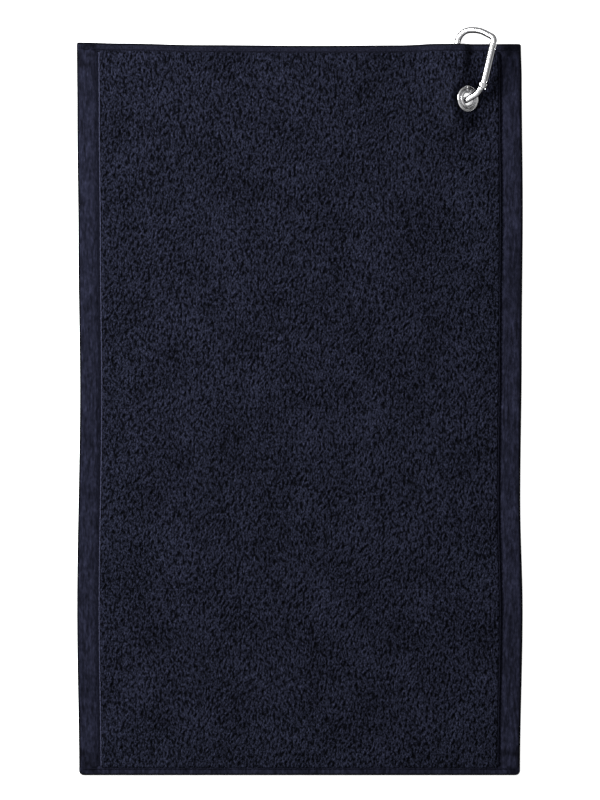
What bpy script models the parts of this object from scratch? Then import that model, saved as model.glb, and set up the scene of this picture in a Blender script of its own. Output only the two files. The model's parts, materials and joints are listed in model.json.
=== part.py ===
"""Golf towel: a hemmed terry towel laid flat, with an eyelet in one corner and a D-shaped spring clip
through it.

Frame: metres, +Z up. The origin is the centre of the towel's underside, on the floor. +X runs across the
towel, +Y runs along it towards the clip, and the face with the eyelet's flange looks up.
"""
import math

import bmesh
import bpy
from mathutils import Matrix, Vector

MM = 0.001
GAP = 0.3 * MM                    # clearance between pieces that touch
FLOOR_GAP = 0.15 * MM             # clearance between the metal pieces and the floor

# --- cloth -------------------------------------------------------------------------------------
TOWEL_WIDTH = 301.0 * MM
TOWEL_LENGTH = 499.0 * MM
TERRY_THICKNESS = 3.2 * MM
HEM_THICKNESS = 2.2 * MM
CLAMPED_THICKNESS = 1.4 * MM      # the cloth where the eyelet squeezes it
SIDE_HEM_WIDTH = 14.6 * MM
END_HEM_WIDTH = 3.8 * MM
CORNER_RADIUS = 3.2 * MM
EDGE_ROUNDING = 0.7 * MM          # how far the cloth's rolled edge reaches inwards
EDGE_ROLL = 0.3                   # share of the thickness that the rolled edge loses on each face
FINE_STEP = 2.6 * MM              # between grid lines where the cloth is raised
COARSE_STEP_X = 80.0 * MM
COARSE_STEP_Y = 110.0 * MM

# --- seams -------------------------------------------------------------------------------------
THREAD = 0.5 * MM
THREAD_INSET = 2.0 * MM           # from a seam's end to the towel's edge or to the crossing seam
THREAD_STEP = 4.0 * MM            # between a thread's bends where the cloth is raised
SEAM_CHANNEL = THREAD + 2 * GAP   # the stitched line between a hem and the terry

# --- eyelet ------------------------------------------------------------------------------------
EYELET_FROM_SIDE = 36.6 * MM
EYELET_FROM_TOP = 38.4 * MM
EYELET_TILT = math.radians(35.0)  # about +Y: the side towards the towel's middle is higher
EYELET_BORE_RADIUS = 4.4 * MM
EYELET_METAL = 0.45 * MM
FLANGE_RADIUS = 9.0 * MM
FLANGE_HEIGHT = 1.25 * MM
WASHER_RADIUS = 8.6 * MM
WASHER_HEIGHT = 0.5 * MM
ROLL_WIDTH = 1.5 * MM             # how far the barrel's rolled end reaches under the washer
ROLL_HEIGHT = 0.7 * MM
ROLL_ROUNDING = 1.3 * MM          # the barrel's rolled end on its inner side
FLANGE_EDGE_WIDTH = 1.4 * MM      # the flange's sloping outer edge
FLANGE_EDGE_DROP = 0.35 * MM
CROWN_RADIUS = 7.15 * MM          # where the flange's top starts to slope outwards
WASHER_CHAMFER = 0.6 * MM
EYELET_SIDES = 32

# --- clip --------------------------------------------------------------------------------------
ROD_RADIUS = 2.1 * MM
CLIP_TILT = math.radians(24.0)    # about the clip's length: the gate's side is higher
GATE_RADIUS = 2.6 * MM
GATE_LEAN = math.radians(14.0)    # from the clip's length, leaning outwards at the latch
PIVOT_OFFSET = 0.6 * MM           # from the gate's centreline towards the spine
TONGUE_HALF = 1.0 * MM            # half the thickness of the body's flattened ends
RIVET_RADIUS = 0.8 * MM
RIVET_HEAD_RADIUS = 1.7 * MM
RIVET_HEAD_HEIGHT = 0.7 * MM
PIN_RADIUS = 0.6 * MM
PIN_CLEARANCE = 0.15 * MM
GATE_LENGTH = 29.4 * MM           # pivot to tip
PIN_FROM_TIP = 1.9 * MM
PIN_RECESS = 0.1 * MM             # the pin's ends lie this far inside the gate's surface
NOSE_LENGTH = 3.9 * MM            # how far the body's nose reaches into the gate's tip
NOSE_CLEARANCE = 0.25 * MM        # round the pin in the nose's notch
SHOULDER_GAP = 0.48 * MM          # between the gate's tip and the rod it closes on
SHOULDER_STEP = 0.05 * MM         # along the rod, where it changes from round to flat
GATE_FOOT = 0.6 * MM              # how far the bar's foot stays inside its half-round
GATE_FOOT_CHAMFER = (0.5 * MM, 0.8 * MM)
GATE_TIP_CHAMFER = 0.8 * MM
BORE_RADIUS = 1.75 * MM           # the spring's bore in the gate
BORE_DEPTH = 14.0 * MM
BORE_CLEARANCE = 0.15 * MM
SPRING_WIRE = 0.45 * MM
SPRING_TURNS = 7
SPRING_STEPS = 12                 # straight pieces in each turn of the coil
SPRING_SIDES = 6
SPRING_END_GAP = 0.1 * MM
PLUNGER_HEAD = 1.6 * MM
PLUNGER_CHAMFER = 0.5 * MM
PLUNGER_STEM = 4.0 * MM
PLUNGER_STEM_RADIUS = 0.75 * MM
GROOVE_WIDTH = 0.5 * MM           # the seam that runs along the gate
GROOVE_DEPTH = 0.4 * MM
GROOVE_FROM_ENDS = 2.0 * MM
GROOVE_ANGLE = math.radians(48.0)
ROD_SIDES = 14
GATE_SIDES = 20
PIN_SIDES = 16

# The clip's centreline in its own plane, measured from the eyelet's centre: (across, along, radius).
GATE_START = (12.0 * MM, 9.2 * MM)  # where the gate's centreline passes the pivot
GATE_ALONG = Vector((math.sin(GATE_LEAN), math.cos(GATE_LEAN)))
GATE_ACROSS = Vector((GATE_ALONG.y, -GATE_ALONG.x))
GATE_TIP = Vector(GATE_START) + GATE_ALONG * GATE_LENGTH
TIP_BEND = (GATE_TIP.x + 0.8 * MM, GATE_TIP.y + 3.3 * MM, 3.4 * MM)
TOP_BEND = (TIP_BEND[0] - 11.1 * MM, TIP_BEND[1] + 5.6 * MM, 19.0 * MM)
SPINE_TOP = (-7.8 * MM, TOP_BEND[1] + 0.3 * MM, 9.5 * MM)
SPINE_BOTTOM = (-5.9 * MM, -4.1 * MM, 4.4 * MM)
ELBOW = (7.4 * MM, 3.4 * MM, 6.0 * MM)
FOOT_LEAN = math.radians(34.0)    # the body's direction at the pivot, from the clip's length
FOOT_REACH = 3.3 * MM             # from the pivot to where the body is round again
EYE_HALF_WIDTH = 2.0 * MM
EYE_END = 1.6 * MM                # from the pivot to the eye's squared-off end
NOSE_HALF_WIDTH = 1.75 * MM

# --- how the cloth lies ------------------------------------------------------------------------
SWING_LEFT = math.radians(8.0)    # the room that the cloth leaves the spine on each side
SWING_RIGHT = math.radians(4.0)
RIDGE_CREST = 1.4 * MM            # half the crest's width past the spine's path
RIDGE_LIFT = 0.6 * MM             # more room over the spine where it starts to bend
RIDGE_LIFT_LENGTH = 10.0 * MM
RIDGE_FALL_LEFT = 24.0 * MM
RIDGE_FALL_RIGHT = 7.0 * MM
HUMP_INNER = 12.2 * MM            # flat and tilted up to here, round the eyelet
HUMP_OUTER = 28.0 * MM            # back on the floor from here
RAISED_LEFT = 36.0 * MM           # how far the raised cloth reaches from the eyelet's centre
RAISED_RIGHT = 12.0 * MM
RAISED_DOWN = 30.0 * MM
LIFTED = 0.01 * MM                # cloth higher than this counts as raised
LIFT_REACH = 6.0 * MM
SMOOTH_ANGLE = math.radians(40.0)  # edges blunter than this are shaded smooth

EYELET_X = TOWEL_WIDTH / 2 - EYELET_FROM_SIDE
EYELET_Y = TOWEL_LENGTH / 2 - EYELET_FROM_TOP
WASHER_TOP = -(CLAMPED_THICKNESS / 2 + GAP)
FLANGE_UNDERSIDE = CLAMPED_THICKNESS / 2 + GAP
ROLL_BOTTOM = WASHER_TOP - WASHER_HEIGHT - GAP - ROLL_HEIGHT
EYELET_Z = FLOOR_GAP + WASHER_RADIUS * math.sin(EYELET_TILT) + (
    WASHER_HEIGHT - WASHER_TOP) * math.cos(EYELET_TILT)
EYELET_CENTRE = Vector((EYELET_X, EYELET_Y, EYELET_Z))
CLAMPED_HALF_HEIGHT = CLAMPED_THICKNESS / 2 / math.cos(EYELET_TILT)
LANDING_X = EYELET_X + (EYELET_Z - CLAMPED_HALF_HEIGHT) / math.tan(EYELET_TILT)


def smoothstep(value, start, end):
    """0 up to start, 1 from end, smooth between."""
    t = min(1.0, max(0.0, (value - start) / (end - start)))
    return t * t * (3.0 - 2.0 * t)


# --- frames ------------------------------------------------------------------------------------
def clip_axes():
    """The clip's axes: across its plane, along its length and out of its plane.

    Its length slopes down so that the spine's far end lies on the floor.
    """
    across = Vector((math.cos(CLIP_TILT), 0.0, math.sin(CLIP_TILT)))
    drop = EYELET_Z + SPINE_TOP[0] * math.sin(CLIP_TILT) - ROD_RADIUS - FLOOR_GAP
    slope = math.asin(drop / (SPINE_TOP[1] - SPINE_TOP[2]))
    along = Vector((0.0, math.cos(slope), -math.sin(slope)))
    along = (along - across * along.dot(across)).normalized()
    return across, along, across.cross(along)


ACROSS, ALONG, OUTWARD = clip_axes()


def frame_matrix(origin, x_axis, y_axis, z_axis):
    """A matrix whose columns are the three axes, at origin."""
    matrix = Matrix((x_axis, y_axis, z_axis)).transposed().to_4x4()
    matrix.translation = origin
    return matrix


def clip_height(across, along):
    """Height above the floor of a point in the clip's plane."""
    return EYELET_Z + across * ACROSS.z + along * ALONG.z


# --- how the cloth lies ------------------------------------------------------------------------
def hump(x, y):
    """Weight of the tilted patch round the eyelet: 1 under its flange, 0 on the floor."""
    reach = math.hypot((x - EYELET_X) / math.cos(EYELET_TILT), y - EYELET_Y)
    return 1.0 - smoothstep(reach, HUMP_INNER, HUMP_OUTER)


def tilted_height(x):
    """Height of the clamped cloth's middle on the tilted patch, level past the flange."""
    limit = HUMP_INNER * math.cos(EYELET_TILT)
    return EYELET_Z + max(-limit, min(limit, EYELET_X - x)) * math.tan(EYELET_TILT)


def ridge(x, y):
    """Height of the cloth's underside over the spine, wide enough for the spine's swing."""
    dx, dy = x - EYELET_X, y - EYELET_Y
    if dy <= 0.0:
        return 0.0
    reach = math.hypot(dx, dy)
    share = (dy - SPINE_BOTTOM[1]) / (SPINE_TOP[1] - SPINE_BOTTOM[1])
    spine = SPINE_BOTTOM[0] + share * (SPINE_TOP[0] - SPINE_BOTTOM[0])
    bearing = math.atan2(-dx, dy)
    rest = math.atan2(-spine * math.cos(CLIP_TILT), dy)
    left = reach * (bearing - rest - SWING_LEFT)
    right = reach * (rest - SWING_RIGHT - bearing)
    fall = max(smoothstep(left, RIDGE_CREST, RIDGE_CREST + RIDGE_FALL_LEFT),
               smoothstep(right, RIDGE_CREST, RIDGE_CREST + RIDGE_FALL_RIGHT))
    bend = SPINE_TOP[1] - SPINE_TOP[2]
    lift = RIDGE_LIFT * smoothstep(dy, bend - RIDGE_LIFT_LENGTH, bend)
    crest = clip_height(spine, dy) + ROD_RADIUS + GAP + lift
    return crest * (1.0 - fall) * smoothstep(dy, 0.0, HUMP_INNER)


def cloth_surfaces(x, y, thickness):
    """Heights of the cloth's underside and face at (x, y)."""
    weight = hump(x, y)
    over_hump = weight * max(0.0, tilted_height(x) - CLAMPED_HALF_HEIGHT)
    under = (over_hump ** 4 + ridge(x, y) ** 4) ** 0.25
    return under, under + weight * 2 * CLAMPED_HALF_HEIGHT + (1.0 - weight) * thickness


# --- mesh helpers ------------------------------------------------------------------------------
def material(name, colour, roughness, metallic):
    """A Principled material."""
    found = bpy.data.materials.new(name)
    found.use_nodes = True
    shader = found.node_tree.nodes["Principled BSDF"]
    shader.inputs["Base Color"].default_value = (*colour, 1.0)
    shader.inputs["Roughness"].default_value = roughness
    shader.inputs["Metallic"].default_value = metallic
    return found


def empty(name, matrix, parent=None):
    """An empty that holds a frame; matrix is in the parent's frame."""
    found = bpy.data.objects.new(name, None)
    bpy.context.collection.objects.link(found)
    found.parent = parent
    found.matrix_local = matrix
    return found


def mesh_object(name, bm, look=None, parent=None, smooth_angle=None):
    """An object made from a bmesh, with its faces pointing outwards."""
    bmesh.ops.recalc_face_normals(bm, faces=bm.faces)
    mesh = bpy.data.meshes.new(name)
    bm.to_mesh(mesh)
    bm.free()
    if smooth_angle is not None:
        mesh.shade_smooth()
        mesh.set_sharp_from_angle(angle=smooth_angle)
    found = bpy.data.objects.new(name, mesh)
    bpy.context.collection.objects.link(found)
    found.parent = parent
    if look is not None:
        mesh.materials.append(look)
    return found


def cut(solid, cutter):
    """Cuts cutter out of solid, and keeps cutter as a hidden guide."""
    cutter.hide_render = True
    cutter.display_type = "WIRE"
    modifier = solid.modifiers.new("cut_" + cutter.name, "BOOLEAN")
    modifier.operation = "DIFFERENCE"
    modifier.solver = "EXACT"
    modifier.object = cutter


def loft(rings, closed_ends=True):
    """A bmesh through rings of points, each ring having as many points as the next."""
    bm = bmesh.new()
    made = [[bm.verts.new(point) for point in ring] for ring in rings]
    for ring, following in zip(made, made[1:]):
        for i in range(len(ring)):
            j = (i + 1) % len(ring)
            bm.faces.new((ring[i], ring[j], following[j], following[i]))
    if closed_ends:
        bm.faces.new(made[0])
        bm.faces.new(made[-1])
    return bm


def turned(profile, sides, axis_ends=False):
    """A solid of revolution about Z from (radius, height) points.

    The profile closes on itself, or with axis_ends its first and last points are on the axis.
    """
    bm = bmesh.new()
    rings = []
    for radius, height in profile:
        if radius < 1e-7:
            rings.append([bm.verts.new((0.0, 0.0, height))])
            continue
        angles = (2 * math.pi * i / sides for i in range(sides))
        rings.append([bm.verts.new((radius * math.cos(a), radius * math.sin(a), height))
                      for a in angles])
    pairs = list(zip(rings, rings[1:]))
    if not axis_ends:
        pairs.append((rings[-1], rings[0]))
    for ring, following in pairs:
        for i in range(sides):
            j = (i + 1) % sides
            corners = [ring[i % len(ring)], ring[j % len(ring)],
                       following[j % len(following)], following[i % len(following)]]
            bm.faces.new(list(dict.fromkeys(corners)))
    return bm


def box(name, low, high, parent):
    """A box between two corners, in the parent's frame."""
    bm = bmesh.new()
    bmesh.ops.create_cube(bm, size=1.0)
    middle = (Vector(low) + Vector(high)) / 2
    size = Vector(high) - Vector(low)
    for vert in bm.verts:
        vert.co = Vector((vert.co.x * size.x, vert.co.y * size.y, vert.co.z * size.z)) + middle
    return mesh_object(name, bm, parent=parent)


def rod(name, radius, low, high, parent, sides=PIN_SIDES, at=(0.0, 0.0), look=None):
    """A cylinder along the parent's Z from low to high."""
    bm = turned([(0.0, low), (radius, low), (radius, high), (0.0, high)], sides, axis_ends=True)
    bmesh.ops.translate(bm, vec=(at[0], at[1], 0.0), verts=bm.verts)
    return mesh_object(name, bm, look, parent)


# --- cloth -------------------------------------------------------------------------------------
def spaced(low, high, step):
    """Evenly spaced values from low to high, both included, no further apart than step."""
    count = max(1, math.ceil((high - low) / step - 1e-6))
    return [low + (high - low) * i / count for i in range(count + 1)]


def grid_lines(low, high, fine_low, fine_high, coarse_step):
    """Grid lines from low to high, close together between fine_low and fine_high."""
    fine_low, fine_high = max(low, min(high, fine_low)), max(low, min(high, fine_high))
    lines = [low, low + EDGE_ROUNDING]
    for start, end, step in ((lines[-1], fine_low, coarse_step),
                             (fine_low, fine_high, FINE_STEP),
                             (fine_high, high - EDGE_ROUNDING, coarse_step)):
        if end > lines[-1] + 0.3 * FINE_STEP:
            lines += spaced(max(start, lines[-1]), end, step)[1:]
    if high - EDGE_ROUNDING > lines[-1] + 1e-6:
        lines.append(high - EDGE_ROUNDING)
    return lines + [high]


def rounded_corner(x, y):
    """Moves a point near one of the towel's four corners onto the rounded outline."""
    inner_x = TOWEL_WIDTH / 2 - CORNER_RADIUS
    inner_y = TOWEL_LENGTH / 2 - CORNER_RADIUS
    over_x, over_y = abs(x) - inner_x, abs(y) - inner_y
    if over_x <= 0.0 or over_y <= 0.0:
        return x, y
    scale = max(over_x, over_y) / math.hypot(over_x, over_y)
    return (math.copysign(inner_x + over_x * scale, x),
            math.copysign(inner_y + over_y * scale, y))


def slab(name, x_range, y_range, thickness, look):
    """A piece of cloth over a rectangle, following how the cloth lies, with rolled edges."""
    xs = grid_lines(*x_range, EYELET_X - RAISED_LEFT, EYELET_X + RAISED_RIGHT, COARSE_STEP_X)
    if x_range[0] < LANDING_X < x_range[1]:
        xs = sorted([x for x in xs if abs(x - LANDING_X) > FINE_STEP / 4] + [LANDING_X])
    ys = grid_lines(*y_range, EYELET_Y - RAISED_DOWN, TOWEL_LENGTH / 2, COARSE_STEP_Y)
    bm = bmesh.new()
    lower, upper = {}, {}
    for i, x in enumerate(xs):
        for j, y in enumerate(ys):
            px, py = rounded_corner(x, y)
            under, face = cloth_surfaces(px, py, thickness)
            if i in (0, len(xs) - 1) or j in (0, len(ys) - 1):
                rolled = EDGE_ROLL * (face - under)
                under, face = under + rolled, face - rolled
            lower[i, j] = bm.verts.new((px, py, under))
            upper[i, j] = bm.verts.new((px, py, face))
    for i in range(len(xs) - 1):
        for j in range(len(ys) - 1):
            corners = [(i, j), (i + 1, j), (i + 1, j + 1), (i, j + 1)]
            bm.faces.new([upper[c] for c in corners])
            bm.faces.new([lower[c] for c in reversed(corners)])
    border = ([(i, 0) for i in range(len(xs))] + [(len(xs) - 1, j) for j in range(1, len(ys))]
              + [(i, len(ys) - 1) for i in reversed(range(len(xs) - 1))]
              + [(0, j) for j in reversed(range(1, len(ys) - 1))])
    for here, after in zip(border, border[1:] + border[:1]):
        bm.faces.new((lower[here], lower[after], upper[after], upper[here]))
    return mesh_object(name, bm, look)


def build_cloth(looks, eyelet_frame):
    """The terry panel and the four hems."""
    half_x, half_y = TOWEL_WIDTH / 2, TOWEL_LENGTH / 2
    panel_x = half_x - SIDE_HEM_WIDTH - SEAM_CHANNEL
    panel_y = half_y - END_HEM_WIDTH - SEAM_CHANNEL
    panel = slab("terry_panel", (-panel_x, panel_x), (-panel_y, panel_y), TERRY_THICKNESS,
                 looks["terry"])
    hole = rod("eyelet_hole_cutter", EYELET_BORE_RADIUS + EYELET_METAL + GAP,
               -FLANGE_RADIUS, FLANGE_RADIUS, eyelet_frame, EYELET_SIDES)
    cut(panel, hole)
    for side, sign in (("left", -1), ("right", 1)):
        edges = sorted((sign * half_x, sign * (half_x - SIDE_HEM_WIDTH)))
        slab(side + "_hem", edges, (-panel_y, panel_y), HEM_THICKNESS, looks["hem"])
    for end, sign in (("bottom", -1), ("top", 1)):
        edges = sorted((sign * half_y, sign * (half_y - END_HEM_WIDTH)))
        slab(end + "_hem", (-half_x, half_x), edges, HEM_THICKNESS, looks["hem"])


def thread_run(name, start, end, share, look):
    """One thread of a seam, from start to end; share is its height in the cloth, 0 to 1."""
    start, end = Vector(start), Vector(end)
    direction = (end - start).normalized()
    sideways = Vector((direction.y, -direction.x)) * THREAD / 2
    near = [t for t in spaced(0.0, (end - start).length, THREAD_STEP)
            if is_raised(start + direction * t)]
    stops = sorted({0.0, (end - start).length, *near})
    rings = []
    for stop in stops:
        point = start + direction * stop
        under, face = cloth_surfaces(point.x, point.y, HEM_THICKNESS)
        low = under + FLOOR_GAP + share * (face - under - THREAD - 2 * FLOOR_GAP)
        rings.append([(point.x + side * sideways.x, point.y + side * sideways.y, low + up)
                      for side, up in ((-1, 0.0), (1, 0.0), (1, THREAD), (-1, THREAD))])
    return mesh_object(name, loft(rings), look)


def is_raised(point):
    """Whether the cloth is off the floor near a point."""
    around = [(dx * LIFT_REACH, dy * LIFT_REACH) for dx in (-1, 0, 1) for dy in (-1, 0, 1)]
    return any(cloth_surfaces(point.x + dx, point.y + dy, HEM_THICKNESS)[0] > LIFTED
               for dx, dy in around)


def build_seams(looks):
    """A needle thread on the face and a bobbin thread on the underside of each hem's seam."""
    seam_x = TOWEL_WIDTH / 2 - SIDE_HEM_WIDTH - SEAM_CHANNEL / 2
    seam_y = TOWEL_LENGTH / 2 - END_HEM_WIDTH - SEAM_CHANNEL / 2
    reach_x = TOWEL_WIDTH / 2 - THREAD_INSET
    reach_y = seam_y - THREAD_INSET
    runs = {
        "left": ((-seam_x, -reach_y), (-seam_x, reach_y)),
        "right": ((seam_x, -reach_y), (seam_x, reach_y)),
        "bottom": ((-reach_x, -seam_y), (reach_x, -seam_y)),
        "top": ((-reach_x, seam_y), (reach_x, seam_y)),
    }
    for side, (start, end) in runs.items():
        thread_run(side + "_seam_needle_thread", start, end, 1.0, looks["thread"])
        thread_run(side + "_seam_bobbin_thread", start, end, 0.0, looks["thread"])


# --- eyelet ------------------------------------------------------------------------------------
def arc(centre, radius, start, end, steps):
    """Points on an arc, angles in degrees, both ends included."""
    angles = (math.radians(start + (end - start) * i / steps) for i in range(steps + 1))
    return [(centre[0] + radius * math.cos(a), centre[1] + radius * math.sin(a)) for a in angles]


def build_eyelet(looks, eyelet_frame):
    """The flanged eyelet, whose barrel is rolled over the washer behind the cloth."""
    bore, wall = EYELET_BORE_RADIUS, EYELET_METAL
    crown = FLANGE_UNDERSIDE + FLANGE_HEIGHT
    profile = arc((bore + ROLL_ROUNDING, ROLL_BOTTOM + ROLL_ROUNDING), ROLL_ROUNDING, 180, 270, 4)
    profile += [(bore + wall + ROLL_WIDTH, ROLL_BOTTOM + 0.25 * ROLL_HEIGHT),
                (bore + wall + ROLL_WIDTH, ROLL_BOTTOM + ROLL_HEIGHT),
                (bore + wall, ROLL_BOTTOM + ROLL_HEIGHT),
                (bore + wall, FLANGE_UNDERSIDE),
                (FLANGE_RADIUS, FLANGE_UNDERSIDE),
                (FLANGE_RADIUS, FLANGE_UNDERSIDE + wall),
                (FLANGE_RADIUS - FLANGE_EDGE_WIDTH, crown - FLANGE_EDGE_DROP),
                (CROWN_RADIUS, crown)]
    profile += arc((bore + FLANGE_HEIGHT, FLANGE_UNDERSIDE), FLANGE_HEIGHT, 90, 180, 4)
    mesh_object("eyelet", turned(profile, EYELET_SIDES), looks["metal"], eyelet_frame,
                SMOOTH_ANGLE)
    inner = bore + wall + GAP
    washer = [(inner, WASHER_TOP), (inner, WASHER_TOP - WASHER_HEIGHT),
              (WASHER_RADIUS - WASHER_CHAMFER, WASHER_TOP - WASHER_HEIGHT),
              (WASHER_RADIUS, WASHER_TOP - wall), (WASHER_RADIUS, WASHER_TOP)]
    mesh_object("eyelet_washer", turned(washer, EYELET_SIDES), looks["metal"], eyelet_frame,
                SMOOTH_ANGLE)


# --- clip --------------------------------------------------------------------------------------
def filleted(points, step):
    """A path through 2D corners (x, y, radius), its corners rounded, as a list of points."""
    path = [Vector(points[0][:2])]
    for before, corner, after in zip(points, points[1:], points[2:]):
        here, radius = Vector(corner[:2]), corner[2]
        into = (here - Vector(before[:2])).normalized()
        out = (Vector(after[:2]) - here).normalized()
        turn = into.angle(out)
        tangent = radius * math.tan(turn / 2)
        side = 1.0 if into.x * out.y - into.y * out.x > 0 else -1.0
        centre = here - into * tangent + Vector((-into.y, into.x)) * side * radius
        start = here - into * tangent - centre
        count = max(2, round(turn / step))
        for i in range(count + 1):
            path.append(centre + Matrix.Rotation(side * turn * i / count, 2) @ start)
    path.append(Vector(points[-1][:2]))
    return path


PIVOT = Vector(GATE_START) - GATE_ACROSS * PIVOT_OFFSET
EYE_CORNER = math.hypot(EYE_END, EYE_HALF_WIDTH)    # the corner that works the plunger
CAM_HEIGHT = (EYE_END * math.cos(FOOT_LEAN - GATE_LEAN)
              + EYE_HALF_WIDTH * math.sin(FOOT_LEAN - GATE_LEAN))


def gate_point(across, along):
    """A point in the clip's plane from the gate's own coordinates, measured at the pivot."""
    return PIVOT + GATE_ACROSS * across + GATE_ALONG * along


def body_stations():
    """Centreline points of the clip's body with each one's half width and half thickness."""
    shoulder = GATE_LENGTH + SHOULDER_GAP
    towards_eye = Vector((math.sin(FOOT_LEAN), math.cos(FOOT_LEAN)))
    nose = gate_point(PIVOT_OFFSET, shoulder)
    foot = PIVOT - towards_eye * FOOT_REACH
    corners = [(*nose, 0.0), TIP_BEND, TOP_BEND, SPINE_TOP, SPINE_BOTTOM, ELBOW, (*foot, 0.0)]
    nose_end = gate_point(PIVOT_OFFSET, GATE_LENGTH - NOSE_LENGTH)
    stations = [(nose_end, NOSE_HALF_WIDTH, TONGUE_HALF),
                (gate_point(PIVOT_OFFSET, shoulder - SHOULDER_STEP), NOSE_HALF_WIDTH, TONGUE_HALF)]
    stations += [(point, ROD_RADIUS, ROD_RADIUS)
                 for point in filleted(corners, math.radians(15.0))]
    stations.append((foot + towards_eye * SHOULDER_STEP, EYE_HALF_WIDTH, TONGUE_HALF))
    stations.append((PIVOT + towards_eye * EYE_END, EYE_HALF_WIDTH, TONGUE_HALF))
    return stations


def build_body(looks, clip_frame, gate_frame):
    """The bent rod of the clip, with a notched nose and a flat eye for the rivet."""
    stations = body_stations()
    rings = []
    for i, (point, half_width, half_thick) in enumerate(stations):
        before = stations[max(0, i - 1)][0]
        after = stations[min(len(stations) - 1, i + 1)][0]
        tangent = (after - before).normalized()
        normal = Vector((-tangent.y, tangent.x))
        ring = []
        for k in range(ROD_SIDES):
            angle = 2 * math.pi * k / ROD_SIDES
            flat = point + normal * half_width * math.cos(angle)
            ring.append((flat.x, flat.y, half_thick * math.sin(angle)))
        rings.append(ring)
    body = mesh_object("carabiner_body", loft(rings), looks["metal"], clip_frame, SMOOTH_ANGLE)
    clear = RIVET_RADIUS + PIN_CLEARANCE
    cut(body, rod("rivet_hole_in_body", clear, -GATE_RADIUS, GATE_RADIUS, gate_frame))
    pin_along = GATE_LENGTH - PIN_FROM_TIP
    room = PIN_RADIUS + NOSE_CLEARANCE
    cut(body, box("nose_notch_cutter", (-2 * GATE_RADIUS, pin_along - room, -GATE_RADIUS),
                  (PIVOT_OFFSET + room, pin_along + room, GATE_RADIUS), gate_frame))


def build_gate(looks, gate_frame):
    """The gate: a bar with a bore for its spring and a fork at each end."""
    foot, tip = GATE_FOOT - GATE_RADIUS, GATE_LENGTH
    chamfer_in, chamfer_up = GATE_FOOT_CHAMFER
    profile = [(0.0, BORE_DEPTH), (BORE_RADIUS, BORE_DEPTH), (BORE_RADIUS, foot),
               (GATE_RADIUS - chamfer_in, foot), (GATE_RADIUS, foot + chamfer_up),
               (GATE_RADIUS, tip - GATE_TIP_CHAMFER), (GATE_RADIUS - GATE_TIP_CHAMFER, tip),
               (0.0, tip)]
    bm = turned(profile, GATE_SIDES, axis_ends=True)
    upright = Matrix.Translation((PIVOT_OFFSET, 0.0, 0.0)) @ Matrix.Rotation(math.pi / -2, 4, "X")
    bmesh.ops.transform(bm, matrix=upright, verts=bm.verts)
    gate = mesh_object("carabiner_gate", bm, looks["metal"], gate_frame, SMOOTH_ANGLE)
    slot = TONGUE_HALF + GAP
    wide = 2 * GATE_RADIUS
    cut(gate, box("pivot_slot_cutter", (-wide, -wide, -slot),
                  (wide, EYE_CORNER + GAP, slot), gate_frame))
    cut(gate, box("nose_slot_cutter", (-wide, tip - NOSE_LENGTH - 2 * GAP, -slot),
                  (wide, tip + wide, slot), gate_frame))
    cut(gate, rod("rivet_hole_in_gate", RIVET_RADIUS + PIN_CLEARANCE, -wide, wide, gate_frame))
    cut(gate, rod("pin_hole_in_gate", PIN_RADIUS + PIN_CLEARANCE, -wide, wide, gate_frame,
                  at=(PIVOT_OFFSET, tip - PIN_FROM_TIP)))
    groove = box("gate_groove_cutter",
                 (GATE_RADIUS - GROOVE_DEPTH, GROOVE_FROM_ENDS, -GROOVE_WIDTH / 2),
                 (wide, tip - GROOVE_FROM_ENDS, GROOVE_WIDTH / 2), gate_frame)
    groove.matrix_local = (Matrix.Translation((PIVOT_OFFSET, 0.0, 0.0))
                           @ Matrix.Rotation(-GROOVE_ANGLE, 4, "Y"))
    cut(gate, groove)


def build_pins(looks, gate_frame):
    """The rivet that the gate turns on, and the pin across its tip."""
    reach = GATE_RADIUS + PIN_CLEARANCE
    head, dome = RIVET_HEAD_RADIUS, RIVET_HEAD_HEIGHT
    half = [(0.0, reach + dome), (0.6 * head, reach + 0.8 * dome), (head, reach),
            (RIVET_RADIUS, reach)]
    profile = half + [(radius, -height) for radius, height in reversed(half)]
    mesh_object("gate_rivet", turned(profile, PIN_SIDES, axis_ends=True), looks["metal"],
                gate_frame, SMOOTH_ANGLE)
    pin_reach = GATE_RADIUS - PIN_RECESS
    rod("latch_pin", PIN_RADIUS, -pin_reach, pin_reach, gate_frame,
        at=(PIVOT_OFFSET, GATE_LENGTH - PIN_FROM_TIP), look=looks["metal"])


def build_spring(looks, gate_frame):
    """The plunger that bears on the body's eye, and the coil spring behind it."""
    bore_frame = empty("bore_frame", frame_matrix(
        Vector((PIVOT_OFFSET, 0.0, 0.0)), Vector((1, 0, 0)), Vector((0, 0, -1)),
        Vector((0, 1, 0))), gate_frame)
    seat = CAM_HEIGHT + GAP
    face = seat + PLUNGER_HEAD
    head = BORE_RADIUS - BORE_CLEARANCE
    stem = PLUNGER_STEM_RADIUS
    profile = [(0.0, seat), (0.6 * head, seat), (head, seat + PLUNGER_CHAMFER), (head, face),
               (stem, face), (stem, face + PLUNGER_STEM), (0.0, face + PLUNGER_STEM)]
    mesh_object("spring_plunger", turned(profile, PIN_SIDES, axis_ends=True), looks["metal"],
                bore_frame, SMOOTH_ANGLE)
    wire = SPRING_WIRE / 2
    coil_radius = head - wire
    low = face + wire + SPRING_END_GAP
    high = BORE_DEPTH - wire - SPRING_END_GAP
    steps = SPRING_TURNS * SPRING_STEPS
    around = [2 * math.pi * k / SPRING_SIDES for k in range(SPRING_SIDES)]
    rings = []
    for i in range(steps + 1):
        angle = 2 * math.pi * i / SPRING_STEPS
        height = low + (high - low) * i / steps
        out = Vector((math.cos(angle), math.sin(angle), 0.0))
        rings.append([out * (coil_radius + wire * math.cos(a))
                      + Vector((0.0, 0.0, height + wire * math.sin(a))) for a in around])
    mesh_object("gate_spring", loft(rings), looks["spring"], bore_frame, SMOOTH_ANGLE)


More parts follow.
